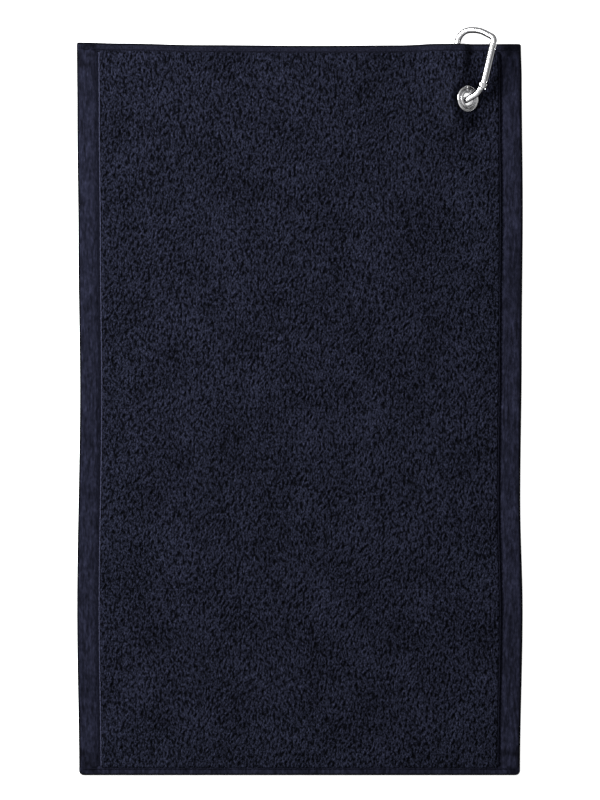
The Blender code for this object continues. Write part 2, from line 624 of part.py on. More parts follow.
def main():
    """Builds the towel, its seams, its eyelet and its clip."""
    for found in list(bpy.data.objects):
        bpy.data.objects.remove(found)
    looks = {
        "terry": material("navy_terry", (0.011, 0.012, 0.026), 0.95, 0.0),
        "hem": material("navy_flat_weave", (0.017, 0.019, 0.037), 0.85, 0.0),
        "thread": material("navy_thread", (0.020, 0.022, 0.042), 0.6, 0.0),
        "metal": material("polished_nickel", (0.83, 0.83, 0.84), 0.12, 1.0),
        "spring": material("spring_steel", (0.55, 0.55, 0.56), 0.3, 1.0),
    }
    tilt = Matrix.Rotation(EYELET_TILT, 4, "Y")
    eyelet_frame = empty("eyelet_frame", Matrix.Translation(EYELET_CENTRE) @ tilt)
    clip_frame = empty("clip_frame", frame_matrix(EYELET_CENTRE, ACROSS, ALONG, OUTWARD))
    gate_frame = empty("gate_frame", frame_matrix(
        PIVOT.to_3d(), GATE_ACROSS.to_3d(), GATE_ALONG.to_3d(), Vector((0, 0, 1))), clip_frame)
    bpy.context.view_layer.update()
    build_cloth(looks, eyelet_frame)
    build_seams(looks)
    build_eyelet(looks, eyelet_frame)
    build_body(looks, clip_frame, gate_frame)
    build_gate(looks, gate_frame)
    build_pins(looks, gate_frame)
    build_spring(looks, gate_frame)


main()
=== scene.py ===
"""Looks of a golf towel: looped terry cloth with flat bands, sewn seams, a pressed eyelet and a spring clip.

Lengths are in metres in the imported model's frame: +X across the towel, +Y along it towards the clip, +Z up
out of the face with the eyelet's flange. Every piece takes its place from the model's boxes and joints.
"""
from __future__ import annotations

import json
import logging
import math
from collections.abc import Sequence
from dataclasses import dataclass, field, replace
from enum import Enum

import bpy
import numpy as np
from mathutils import Matrix, Vector

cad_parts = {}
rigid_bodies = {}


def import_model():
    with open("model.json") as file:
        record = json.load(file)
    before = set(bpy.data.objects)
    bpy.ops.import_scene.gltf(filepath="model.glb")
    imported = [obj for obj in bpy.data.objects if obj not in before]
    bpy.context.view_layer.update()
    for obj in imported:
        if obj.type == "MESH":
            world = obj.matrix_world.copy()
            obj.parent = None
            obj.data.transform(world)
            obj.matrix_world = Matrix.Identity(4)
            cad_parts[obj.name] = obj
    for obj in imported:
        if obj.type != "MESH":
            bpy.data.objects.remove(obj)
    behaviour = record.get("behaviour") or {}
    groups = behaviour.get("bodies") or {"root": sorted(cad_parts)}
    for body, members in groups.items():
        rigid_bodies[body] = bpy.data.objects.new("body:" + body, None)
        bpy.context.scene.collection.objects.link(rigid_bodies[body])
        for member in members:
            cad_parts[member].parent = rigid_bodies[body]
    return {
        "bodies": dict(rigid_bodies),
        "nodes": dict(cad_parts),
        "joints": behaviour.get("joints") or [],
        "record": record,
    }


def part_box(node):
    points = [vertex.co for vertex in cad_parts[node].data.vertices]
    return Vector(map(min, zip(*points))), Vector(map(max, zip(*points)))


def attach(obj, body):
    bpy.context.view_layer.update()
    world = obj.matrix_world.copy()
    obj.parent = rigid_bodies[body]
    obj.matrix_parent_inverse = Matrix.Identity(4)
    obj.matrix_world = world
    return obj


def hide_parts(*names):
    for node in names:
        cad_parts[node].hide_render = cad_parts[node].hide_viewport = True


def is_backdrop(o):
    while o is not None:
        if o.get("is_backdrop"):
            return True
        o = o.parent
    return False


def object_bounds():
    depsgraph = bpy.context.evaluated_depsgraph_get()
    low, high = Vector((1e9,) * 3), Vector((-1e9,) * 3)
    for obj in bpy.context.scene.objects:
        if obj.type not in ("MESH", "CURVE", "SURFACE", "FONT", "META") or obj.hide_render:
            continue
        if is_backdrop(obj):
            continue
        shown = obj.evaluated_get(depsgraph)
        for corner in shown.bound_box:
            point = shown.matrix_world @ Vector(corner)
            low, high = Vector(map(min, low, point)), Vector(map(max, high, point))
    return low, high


LOG = logging.getLogger("golf_towel")
MM = 0.001
BAKE_MAP = "OFBake"
PILE_AND_SHADE = "pile"
LATTICE = 64
MAP_EDGE = 0.01
HALF_MAP = 0.5
TINY = 1e-9

Array = np.ndarray
Colour = tuple[float, float, float]


class Side(Enum):
    """The two long sides of the towel, by the sign of X."""

    LEFT = -1
    RIGHT = 1


class End(Enum):
    """The two short ends of the towel, by the sign of Y."""

    BOTTOM = -1
    TOP = 1


class Thread(Enum):
    """The two threads of a lockstitch seam, by the sign of the face they lie on."""

    BOBBIN = -1
    NEEDLE = 1


# --- small helpers ----------------------------------------------------------------------------------
def smoothstep(value: Array, start: float, end: float) -> Array:
    """0 up to start, 1 from end, smooth between."""
    t = np.clip((value - start) / (end - start), 0.0, 1.0)
    return t * t * (3.0 - 2.0 * t)


def smooth_noise(x: Array, y: Array, pitch: float, seed: int) -> Array:
    """Soft random hills of about one pitch across.

    Args:
        x: Places across, in metres.
        y: Places along, in metres.
        pitch: Distance between lattice points, in metres.
        seed: Number that fixes the pattern.

    Returns:
        Values from -1 to 1, of the places' shape.
    """
    lattice = np.random.default_rng(seed).uniform(-1.0, 1.0, (LATTICE, LATTICE))
    u, v = np.asarray(x) / pitch, np.asarray(y) / pitch
    i, j = np.floor(u).astype(int), np.floor(v).astype(int)
    s, t = smoothstep(u - i, 0.0, 1.0), smoothstep(v - j, 0.0, 1.0)
    i, j, right, beyond = i % LATTICE, j % LATTICE, (i + 1) % LATTICE, (j + 1) % LATTICE
    near = lattice[i, j] * (1 - s) + lattice[right, j] * s
    far = lattice[i, beyond] * (1 - s) + lattice[right, beyond] * s
    return near * (1 - t) + far * t


def through(points: Sequence[tuple[float, float]], at: Array) -> Array:
    """A smooth curve through a few given points.

    Args:
        points: (place, value) pairs in rising order of place.
        at: Places to read.

    Returns:
        The curve's values, level past both ends.
    """
    places = np.array([p for p, _ in points])
    values = np.array([v for _, v in points])
    clipped = np.clip(at, places[0], places[-1])
    index = np.clip(np.searchsorted(places, clipped, side="right") - 1, 0, len(places) - 2)
    t = smoothstep(clipped, places[index], places[index + 1])
    return values[index] * (1 - t) + values[index + 1] * t


def mesh_object(name: str, points: Array, faces: Sequence[Sequence[int]],
                smooth: bool = True) -> bpy.types.Object:
    """An object made from points and faces, linked to the scene."""
    mesh = bpy.data.meshes.new(name)
    mesh.from_pydata(np.asarray(points).reshape(-1, 3).tolist(), [], faces)
    mesh.validate()
    if smooth:
        mesh.shade_smooth()
    made = bpy.data.objects.new(name, mesh)
    bpy.context.scene.collection.objects.link(made)
    return made


def tube_faces(rings: int, sides: int) -> list[list[int]]:
    """Faces of a tube, closed at both ends, whose rings follow each other in the vertex list."""
    faces = []
    for r in range(rings - 1):
        here, after = r * sides, (r + 1) * sides
        faces += [[here + i, here + (i + 1) % sides, after + (i + 1) % sides, after + i]
                  for i in range(sides)]
    faces.append(list(reversed(range(sides))))
    faces.append([(rings - 1) * sides + i for i in range(sides)])
    return faces


def turned_object(name: str, profile: Sequence[tuple[float, float]], sides: int,
                  place: Matrix) -> bpy.types.Object:
    """A ring turned from a closed (radius, height) profile about the Z of place."""
    angles = np.arange(sides) * 2 * math.pi / sides
    shape = np.array(profile)
    points = np.stack([np.outer(np.cos(angles), shape[:, 0]), np.outer(np.sin(angles), shape[:, 0]),
                       np.tile(shape[:, 1], (sides, 1))], axis=-1).reshape(-1, 3)
    count = len(profile)
    faces = []
    for i in range(sides):
        here, after = i * count, ((i + 1) % sides) * count
        faces += [[here + k, after + k, after + (k + 1) % count, here + (k + 1) % count]
                  for k in range(count)]
    made = mesh_object(name, points, faces)
    made.data.transform(place)
    return made


def circle(sides: int) -> list[tuple[float, float]]:
    """Cosine and sine of evenly spaced angles round a circle."""
    angles = (2 * math.pi * k / sides for k in range(sides))
    return [(math.cos(a), math.sin(a)) for a in angles]


def arc(centre: tuple[float, float], radius: float, start: float, end: float,
        steps: int) -> list[tuple[float, float]]:
    """Points on an arc, angles in degrees, both ends included."""
    angles = (math.radians(start + (end - start) * i / steps) for i in range(steps + 1))
    return [(centre[0] + radius * math.cos(a), centre[1] + radius * math.sin(a)) for a in angles]


def carve(solid: bpy.types.Object, cutters: Sequence[bpy.types.Object]) -> None:
    """Cuts the cutters out of solid, keeps the result as its mesh and removes the cutters."""
    for cutter in cutters:
        modifier = solid.modifiers.new("carve", "BOOLEAN")
        modifier.operation = "DIFFERENCE"
        modifier.solver = "EXACT"
        modifier.object = cutter
    graph = bpy.context.evaluated_depsgraph_get()
    result = bpy.data.meshes.new_from_object(solid.evaluated_get(graph), depsgraph=graph)
    solid.modifiers.clear()
    solid.data = result
    for cutter in cutters:
        bpy.data.objects.remove(cutter)


def keep_pile_and_shade(made: bpy.types.Object, pile: Array) -> None:
    """Keeps, from 0 to 1, how far each point stands or how little painted shade it gets, where the cloth's
    finish reads it and paints shade where the value is low.
    """
    layer = made.data.attributes.new(PILE_AND_SHADE, "FLOAT", "POINT")
    layer.data.foreach_set("value", pile.astype(np.float32).ravel())


def planar_map(made: bpy.types.Object) -> None:
    """Gives a flat-lying dense mesh its baking map: the face in one half, the underside in the other."""
    mesh = made.data
    count = len(mesh.loops)
    corner = np.empty(count, dtype=np.int32)
    mesh.loops.foreach_get("vertex_index", corner)
    points = np.empty(len(mesh.vertices) * 3, dtype=np.float32)
    mesh.vertices.foreach_get("co", points)
    points = points.reshape(-1, 3)
    normals = np.empty(len(mesh.polygons) * 3, dtype=np.float32)
    mesh.polygons.foreach_get("normal", normals)
    totals = np.empty(len(mesh.polygons), dtype=np.int32)
    mesh.polygons.foreach_get("loop_total", totals)
    downwards = np.repeat(normals.reshape(-1, 3)[:, 2] < 0.0, totals)
    low, size = points.min(0), np.ptp(points, axis=0)
    share = (points[corner, :2] - low[:2]) / np.maximum(size[:2], 1e-6)
    share[:, 0] = share[:, 0] * (HALF_MAP - 2 * MAP_EDGE) + MAP_EDGE + np.where(downwards, HALF_MAP, 0.0)
    share[:, 1] = share[:, 1] * (1.0 - 2 * MAP_EDGE) + MAP_EDGE
    layer = mesh.uv_layers.new(name=BAKE_MAP)
    layer.data.foreach_set("uv", share.astype(np.float32).ravel())


# --- how the cloth lies -----------------------------------------------------------------------------
@dataclass
class ClothLie:
    """How the cloth lies: flat, with a tilted patch at the eyelet and a low ridge over the clip's spine."""

    eyelet: Vector
    half_width: float
    half_length: float
    eyelet_tilt: float = math.radians(35.0)
    clip_tilt: float = math.radians(24.0)
    clip_drop: float = 0.01982
    clamped: float = 1.4 * MM
    patch_inner: float = 12.2 * MM
    patch_outer: float = 28.0 * MM
    spine_bottom: tuple[float, float] = (-5.9 * MM, -4.1 * MM)
    spine_top: tuple[float, float] = (-7.8 * MM, 46.93 * MM)
    bend_start: float = 37.43 * MM
    bend_lift: float = 0.6 * MM
    lift_length: float = 10.0 * MM
    rod_radius: float = 2.1 * MM
    swing_left: float = math.radians(8.0)
    swing_right: float = math.radians(4.0)
    crest: float = 1.4 * MM
    fall_left: float = 24.0 * MM
    fall_right: float = 7.0 * MM
    clearance: float = 0.3 * MM
    blend_power: float = 4.0
    rise_power: float = 4.0
    hem_thickness: float = 2.2 * MM
    left_edge: tuple[tuple[float, float], ...] = (
        (-1.0, -0.3), (-0.55, 1.1), (0.05, -0.9), (0.45, 0.2), (0.8, 1.0), (1.0, 1.3))
    right_edge: tuple[tuple[float, float], ...] = (
        (-1.0, -0.3), (-0.55, 1.5), (-0.25, -0.1), (0.15, 0.9), (0.55, 1.6), (0.9, 0.9), (1.0, 0.3))
    top_edge: tuple[tuple[float, float], ...] = (
        (-1.0, 0.3), (-0.8, -0.4), (-0.45, -1.5), (0.1, -2.0), (0.45, -1.7), (0.62, -0.9), (1.0, -0.8))

    def drift(self, x: Array, y: Array) -> tuple[Array, Array]:
        """Moves flat places outwards or inwards, so that the towel's outline wanders as cut cloth does."""
        along, across = y / self.half_length, x / self.half_width
        left = -through(self.left_edge, along) * MM
        right = through(self.right_edge, along) * MM
        share = np.clip((across + 1) / 2, 0.0, 1.0)
        top = through(self.top_edge, across) * MM
        rise = np.clip((along + 1) / 2, 0.0, 1.0) ** self.rise_power
        return x + left * (1 - share) ** 2 + right * share ** 2, y + top * rise

    def patch(self, x: Array, y: Array) -> Array:
        """Weight of the tilted patch round the eyelet."""
        return 1.0 - smoothstep(self.eyelet_reach(x, y), self.patch_inner, self.patch_outer)

    def ridge(self, x: Array, y: Array) -> Array:
        """Height of the cloth's underside over the spine."""
        dx, dy = x - self.eyelet.x, y - self.eyelet.y
        reach = np.hypot(dx, dy)
        share = (dy - self.spine_bottom[1]) / (self.spine_top[1] - self.spine_bottom[1])
        spine = self.spine_bottom[0] + share * (self.spine_top[0] - self.spine_bottom[0])
        ahead = np.maximum(dy, TINY)
        bearing = np.arctan2(-dx, ahead)
        rest = np.arctan2(-spine * math.cos(self.clip_tilt), ahead)
        left = reach * (bearing - rest - self.swing_left)
        right = reach * (rest - self.swing_right - bearing)
        fall = np.maximum(smoothstep(left, self.crest, self.crest + self.fall_left),
                          smoothstep(right, self.crest, self.crest + self.fall_right))
        height = self.eyelet.z + spine * math.sin(self.clip_tilt) - dy * self.clip_drop
        lift = self.bend_lift * smoothstep(dy, self.bend_start - self.lift_length, self.bend_start)
        crest = height + self.rod_radius + self.clearance + lift
        return np.where(dy > 0.0, crest * (1.0 - fall) * smoothstep(dy, 0.0, self.patch_inner), 0.0)

    def surfaces(self, x: Array, y: Array, thickness: Array | float) -> tuple[Array, Array]:
        """Heights of the cloth's underside and face.

        Args:
            x: Places across.
            y: Places along.
            thickness: The cloth's thickness where it isn't clamped.

        Returns:
            The underside's and the face's heights.
        """
        weight = self.patch(x, y)
        half = self.clamped / 2 / math.cos(self.eyelet_tilt)
        limit = self.patch_inner * math.cos(self.eyelet_tilt)
        middle = self.eyelet.z + np.clip(self.eyelet.x - x, -limit, limit) * math.tan(self.eyelet_tilt)
        over = weight * np.maximum(0.0, middle - half)
        power = self.blend_power
        under = (over ** power + self.ridge(x, y) ** power) ** (1 / power)
        return under, under + weight * 2 * half + (1.0 - weight) * thickness

    def eyelet_reach(self, x: Array, y: Array) -> Array:
        """Distance from the eyelet's axis, measured in its tilted plane."""
        return np.hypot((x - self.eyelet.x) / math.cos(self.eyelet_tilt), y - self.eyelet.y)


# --- finishes ---------------------------------------------------------------------------------------
def new_group(name: str, inputs: dict[str, tuple[str, object]],
              outputs: dict[str, str]) -> bpy.types.ShaderNodeTree:
    """An empty shader node group with named sockets.

    Args:
        name: The group's name.
        inputs: Socket name to (socket type, default value).
        outputs: Socket name to socket type.

    Returns:
        The group's node tree, with its input and output nodes named "in" and "out".
    """
    tree = bpy.data.node_groups.new(name, "ShaderNodeTree")
    for label, (kind, value) in inputs.items():
        socket = tree.interface.new_socket(label, in_out="INPUT", socket_type=kind)
        socket.default_value = value
    for label, kind in outputs.items():
        tree.interface.new_socket(label, in_out="OUTPUT", socket_type=kind)
    tree.nodes.new("NodeGroupInput").name = "in"
    tree.nodes.new("NodeGroupOutput").name = "out"
    return tree


def add_node(tree: bpy.types.NodeTree, kind: str, values: dict[str, object] | None = None,
             **settings: object) -> bpy.types.Node:
    """A node with its settings and unlinked socket values set."""
    node = tree.nodes.new(kind)
    for label, value in settings.items():
        setattr(node, label, value)
    for label, value in (values or {}).items():
        node.inputs[label].default_value = value
    return node


def wire(tree: bpy.types.NodeTree,
         *links: tuple[bpy.types.Node, str | int, bpy.types.Node, str | int]) -> None:
    """Makes links in order, each given as a node, its output, the next node and its input."""
    for source, output, target, entry in links:
        tree.links.new(source.outputs[output], target.inputs[entry])


class SharedEffects:
    """The shader node groups that more than one material uses, each built once."""

    def __init__(self) -> None:
        """Builds the groups."""
        self.yarn = self._yarn()
        self.weave = self._weave()
        self.handling = self._handling()

    @staticmethod
    def _yarn() -> bpy.types.ShaderNodeTree:
        """Cotton yarn: two tones mixed in soft clouds and fine fibre strokes, partly the yarn's own random
        tone and partly painted highlight on loop tops and painted shade between them, with the fibres' own
        height.
        """
        tree = new_group("yarn_tone_and_painted_light", {
            "Deep": ("NodeSocketColor", (0.01, 0.01, 0.02, 1.0)),
            "Lit": ("NodeSocketColor", (0.03, 0.03, 0.05, 1.0)),
            "Cloud Scale": ("NodeSocketFloat", 30.0),
            "Fibre Scale": ("NodeSocketFloat", 900.0),
        }, {"Color": "NodeSocketColor", "Height": "NodeSocketFloat"})
        entry, leave = tree.nodes["in"], tree.nodes["out"]
        place = add_node(tree, "ShaderNodeTexCoord")
        cloud = add_node(tree, "ShaderNodeTexNoise", {"Detail": 3.0, "Roughness": 0.55})
        fibre = add_node(tree, "ShaderNodeTexNoise", {"Detail": 4.0, "Roughness": 0.65})
        both = add_node(tree, "ShaderNodeMath", operation="MULTIPLY_ADD")
        both.inputs[1].default_value = 0.16
        slant = add_node(tree, "ShaderNodeMapping", {"Scale": (1.0, 0.48, 1.0)})
        ramp = add_node(tree, "ShaderNodeMapRange", {"From Min": 0.48, "From Max": 0.77})
        mix = add_node(tree, "ShaderNodeMix", data_type="RGBA")
        wire(tree, (place, "Object", cloud, "Vector"), (place, "Object", slant, "Vector"),
             (slant, 0, fibre, "Vector"), (entry, "Cloud Scale", cloud, "Scale"),
             (entry, "Fibre Scale", fibre, "Scale"), (cloud, "Fac", both, 0), (fibre, "Fac", both, 2),
             (both, 0, ramp, "Value"), (ramp, "Result", mix, "Factor"), (entry, "Deep", mix, "A"),
             (entry, "Lit", mix, "B"), (mix, "Result", leave, "Color"), (fibre, "Fac", leave, "Height"))
        return tree

    @staticmethod
    def _weave() -> bpy.types.ShaderNodeTree:
        """A plain weave's crossing yarns as a height, and a mask that paints the upper yarns lighter and the
        crossings darker as painted light and shade, with slub streaks of the yarn's own tone.
        """
        tree = new_group("plain_weave", {
            "Across": ("NodeSocketFloat", 4000.0),
            "Along": ("NodeSocketFloat", 4000.0),
        }, {"Height": "NodeSocketFloat", "Mask": "NodeSocketFloat"})
        entry, leave = tree.nodes["in"], tree.nodes["out"]
        place = add_node(tree, "ShaderNodeTexCoord")
        parts = add_node(tree, "ShaderNodeSeparateXYZ")
        wire(tree, (place, "Object", parts, 0))
        waves = []
        for axis, label in (("X", "Across"), ("Y", "Along")):
            turn = add_node(tree, "ShaderNodeMath", operation="MULTIPLY")
            wire(tree, (parts, axis, turn, 0), (entry, label, turn, 1))
            wave = add_node(tree, "ShaderNodeMath", operation="SINE")
            wire(tree, (turn, 0, wave, 0))
            waves.append(wave)
        cross = add_node(tree, "ShaderNodeMath", operation="MULTIPLY")
        wire(tree, (waves[0], 0, cross, 0), (waves[1], 0, cross, 1))
        height = add_node(tree, "ShaderNodeMapRange", {"From Min": -1.0, "From Max": 1.0})
        wire(tree, (cross, 0, height, "Value"), (height, "Result", leave, "Height"))
        stretch = add_node(tree, "ShaderNodeMapping", {"Scale": (620.0, 95.0, 620.0)})
        slub = add_node(tree, "ShaderNodeTexNoise", {"Scale": 1.0, "Detail": 3.0, "Roughness": 0.6})
        both = add_node(tree, "ShaderNodeMath", operation="MULTIPLY_ADD")
        both.inputs[1].default_value = 0.08
        mask = add_node(tree, "ShaderNodeMapRange", {"From Min": 0.32, "From Max": 0.72})
        wire(tree, (place, "Object", stretch, "Vector"), (stretch, 0, slub, "Vector"), (cross, 0, both, 0),
             (slub, "Fac", both, 2), (both, 0, mask, "Value"), (mask, "Result", leave, "Mask"))
        return tree

    @staticmethod
    def _handling() -> bpy.types.ShaderNodeTree:
        """Light use on metal: faint smears for roughness and colour, and fine scratches as a height."""
        tree = new_group("light_handling", {
            "Smooth": ("NodeSocketFloat", 0.08),
            "Rubbed": ("NodeSocketFloat", 0.2),
            "Clean": ("NodeSocketColor", (0.8, 0.8, 0.8, 1.0)),
            "Dulled": ("NodeSocketColor", (0.6, 0.6, 0.6, 1.0)),
        }, {"Roughness": "NodeSocketFloat", "Color": "NodeSocketColor", "Height": "NodeSocketFloat"})
        entry, leave = tree.nodes["in"], tree.nodes["out"]
        place = add_node(tree, "ShaderNodeTexCoord")
        smear = add_node(tree, "ShaderNodeTexNoise", {"Scale": 160.0, "Detail": 5.0, "Roughness": 0.6})
        scratch = add_node(tree, "ShaderNodeTexNoise", {"Scale": 1.0, "Detail": 2.0, "Distortion": 0.3})
        stretch = add_node(tree, "ShaderNodeMapping", {"Scale": (900.0, 180.0, 900.0)})
        share = add_node(tree, "ShaderNodeMapRange", {"From Min": 0.4, "From Max": 0.75})
        rough = add_node(tree, "ShaderNodeMix", data_type="FLOAT")
        tone = add_node(tree, "ShaderNodeMix", data_type="RGBA")
        wire(tree, (place, "Object", smear, "Vector"), (place, "Object", stretch, "Vector"),
             (stretch, 0, scratch, "Vector"), (smear, "Fac", share, "Value"),
             (share, "Result", rough, "Factor"), (entry, "Smooth", rough, "A"),
             (entry, "Rubbed", rough, "B"), (share, "Result", tone, "Factor"), (entry, "Clean", tone, "A"),
             (entry, "Dulled", tone, "B"), (rough, "Result", leave, "Roughness"),
             (tone, "Result", leave, "Color"), (scratch, "Fac", leave, "Height"))
        return tree


def add_group(tree: bpy.types.NodeTree, group: bpy.types.ShaderNodeTree,
              values: dict[str, object]) -> bpy.types.Node:
    """Places a shared group in a material with its own values."""
    node = tree.nodes.new("ShaderNodeGroup")
    node.node_tree = group
    for label, value in values.items():
        node.inputs[label].default_value = value
    return node


def opaque(colour: Colour) -> tuple[float, float, float, float]:
    """A colour with full alpha."""
    return (*colour, 1.0)


@dataclass(frozen=True)
class ClothFinish:
    """Dyed cotton, looped, woven or spun, with painted highlight and painted shade mixed into its colour."""

    name: str
    slot: str
    deep: Colour
    lit: Colour
    cloud_scale: float
    fibre_scale: float
    fibre_depth: float
    roughness: float
    sheen: float
    gap_shade: float = 1.0
    gap_range: tuple[float, float] = (0.1, 0.8)
    weave_across: float = 0.0
    weave_along: float = 0.0
    weave_depth: float = 0.0

    def material(self, effects: SharedEffects) -> bpy.types.Material:
        """Builds the material."""
        made = bpy.data.materials.new(self.name)
        made.use_nodes = True
        tree = made.node_tree
        shader = tree.nodes["Principled BSDF"]
        shader.inputs["Roughness"].default_value = self.roughness
        shader.inputs["Specular IOR Level"].default_value = 0.03
        shader.inputs["Sheen Weight"].default_value = self.sheen
        shader.inputs["Sheen Roughness"].default_value = 0.5
        shader.inputs["Sheen Tint"].default_value = opaque((0.55, 0.6, 0.8))
        yarn = add_group(tree, effects.yarn, {
            "Deep": opaque(self.deep), "Lit": opaque(self.lit),
            "Cloud Scale": self.cloud_scale, "Fibre Scale": self.fibre_scale})
        bump = add_node(tree, "ShaderNodeBump", {"Strength": 1.0, "Distance": self.fibre_depth})
        wire(tree, (yarn, "Height", bump, "Height"))
        tone, last = yarn.outputs["Color"], bump
        if self.weave_depth:
            weave = add_group(tree, effects.weave, {
                "Across": self.weave_across, "Along": self.weave_along})
            ribs = add_node(tree, "ShaderNodeBump", {"Strength": 1.0, "Distance": self.weave_depth})
            wire(tree, (weave, "Height", ribs, "Height"), (bump, "Normal", ribs, "Normal"))
            # Painted light and shade: the weave mask makes the colour lighter on the upper yarns and darker
            # at the crossings.
            tone, last = self._scaled(tree, tone, weave.outputs["Mask"], (0.4, 1.6)), ribs
        # Painted shade: the colour is darkened where the pile attribute is low, in the gaps between the loops
        # and, on the strips, in grooves, stitch dips, along rolled edges and in rumples.
        if self.gap_shade < 1.0:
            pile = add_node(tree, "ShaderNodeAttribute", attribute_name=PILE_AND_SHADE)
            stand = add_node(tree, "ShaderNodeMapRange", {
                "From Min": self.gap_range[0], "From Max": self.gap_range[1]},
                interpolation_type="SMOOTHSTEP")
            wire(tree, (pile, "Fac", stand, "Value"))
            tone = self._scaled(tree, tone, stand.outputs["Result"], (self.gap_shade, 1.0))
        tree.links.new(tone, shader.inputs["Base Color"])
        wire(tree, (last, "Normal", shader, "Normal"))
        return made

    @staticmethod
    def _scaled(tree: bpy.types.NodeTree, tone: bpy.types.NodeSocket, mask: bpy.types.NodeSocket,
                span: tuple[float, float]) -> bpy.types.NodeSocket:
        """A colour made darker or lighter by a mask.

        Args:
            tree: The material's node tree.
            tone: The colour.
            mask: What it follows, from 0 to 1.
            span: How bright the colour is where the mask is 0 and where it is 1.

        Returns:
            The changed colour.
        """
        amount = add_node(tree, "ShaderNodeMapRange", {"To Min": span[0], "To Max": span[1]})
        scale = add_node(tree, "ShaderNodeVectorMath", operation="SCALE")
        tree.links.new(mask, amount.inputs["Value"])
        tree.links.new(tone, scale.inputs[0])
        wire(tree, (amount, "Result", scale, "Scale"))
        return scale.outputs["Vector"]


@dataclass(frozen=True)
class MetalFinish:
    """Plated or drawn metal with light marks of use, and a painted dark reflection at glancing angles that
    draws its outline.
    """

    name: str
    slot: str
    clean: Colour
    dulled: Colour
    smooth: float
    rubbed: float
    scratch_depth: float
    # The rim colour and the glancing-angle specular tint paint a dark reflection along the metal's
    # silhouette.
    rim: Colour = (0.05, 0.05, 0.055)
    grazing_shade_tint: float = 0.12

    def material(self, effects: SharedEffects) -> bpy.types.Material:
        """Builds the material."""
        made = bpy.data.materials.new(self.name)
        made.use_nodes = True
        tree = made.node_tree
        shader = tree.nodes["Principled BSDF"]
        shader.inputs["Metallic"].default_value = 1.0
        shader.inputs["Specular Tint"].default_value = opaque((self.grazing_shade_tint,) * 3)
        marks = add_group(tree, effects.handling, {
            "Smooth": self.smooth, "Rubbed": self.rubbed,
            "Clean": opaque(self.clean), "Dulled": opaque(self.dulled)})
        bump = add_node(tree, "ShaderNodeBump", {"Strength": 1.0, "Distance": self.scratch_depth})
        wire(tree, (marks, "Height", bump, "Height"))
        # Painted dark reflection: the base colour turns to the rim colour towards glancing angles.
        facing = add_node(tree, "ShaderNodeLayerWeight", {"Blend": 0.5})
        edge = add_node(tree, "ShaderNodeMapRange", {"From Min": 0.1, "From Max": 0.45},
                        interpolation_type="SMOOTHSTEP")
        tone = add_node(tree, "ShaderNodeMix", data_type="RGBA")
        tone.inputs["B"].default_value = opaque(self.rim)
        wire(tree, (facing, "Facing", edge, "Value"), (edge, "Result", tone, "Factor"),
             (marks, "Color", tone, "A"), (tone, "Result", shader, "Base Color"),
             (marks, "Roughness", shader, "Roughness"), (bump, "Normal", shader, "Normal"))
        return made


# The deep and lit colours are partly the yarn's own tone and partly painted shade and painted highlight;
# gap_shade paints shade where the pile attribute is low.
TERRY = ClothFinish("navy_terry_pile", "terry", deep=(0.0005, 0.0007, 0.0018), lit=(0.0280, 0.0315, 0.0580),
                    cloud_scale=30.0, fibre_scale=1350.0, fibre_depth=0.25 * MM, roughness=0.95, sheen=0.02,
                    gap_shade=0.1, gap_range=(0.05, 0.98))
# The folded top hem's terry: a darker copy of the terry, painted shade for its dark upper edge.
SHADED_HEM_TERRY = replace(TERRY, name="shaded_navy_folded_terry", slot="flat_weave", deep=(0.0030, 0.0033, 0.0066),
                    lit=(0.0155, 0.0168, 0.0305), gap_range=(0.05, 0.95))
GROUND = ClothFinish("navy_ground_weave", "terry", deep=(0.0025, 0.0028, 0.006), lit=(0.006, 0.0065, 0.012),
                     cloud_scale=60.0, fibre_scale=1800.0, fibre_depth=0.05 * MM, roughness=0.95, sheen=0.0)
BAND = ClothFinish("navy_flat_band", "flat_weave", deep=(0.0052, 0.0057, 0.0114),
                   lit=(0.0132, 0.0142, 0.0272), cloud_scale=38.0, fibre_scale=620.0,
                   fibre_depth=0.12 * MM, roughness=0.9, sheen=0.02, gap_shade=0.08, gap_range=(0.0, 1.0),
                   weave_across=5200.0, weave_along=5200.0, weave_depth=0.05 * MM)
# The left seam's thread is a lit copy and the other seams' thread a shaded copy of the same navy thread:
# painted light and shade.
SEWING = ClothFinish("lit_navy_sewing_thread", "thread", deep=(0.020, 0.022, 0.040), lit=(0.044, 0.047, 0.080),
                     cloud_scale=200.0, fibre_scale=1500.0, fibre_depth=0.05 * MM, roughness=0.8, sheen=0.03)
SHADED_SEWING = replace(SEWING, name="shaded_sewing_thread", deep=(0.003, 0.0033, 0.0065),
                      lit=(0.0075, 0.0082, 0.0155), roughness=0.85, sheen=0.0)
NICKEL = MetalFinish("polished_nickel", "nickel", clean=(0.86, 0.86, 0.87), dulled=(0.74, 0.74, 0.75),
                     smooth=0.07, rubbed=0.16, scratch_depth=0.004 * MM)
PLATE = MetalFinish("polished_eyelet_plate", "nickel", clean=(0.95, 0.95, 0.96), dulled=(0.84, 0.84, 0.85),
                    smooth=0.06, rubbed=0.14, scratch_depth=0.003 * MM, rim=(0.55, 0.55, 0.56), grazing_shade_tint=0.9)
SPRING = MetalFinish("drawn_spring_wire", "spring_steel", clean=(0.55, 0.55, 0.57), dulled=(0.42, 0.42, 0.44),
                     smooth=0.22, rubbed=0.34, scratch_depth=0.008 * MM)


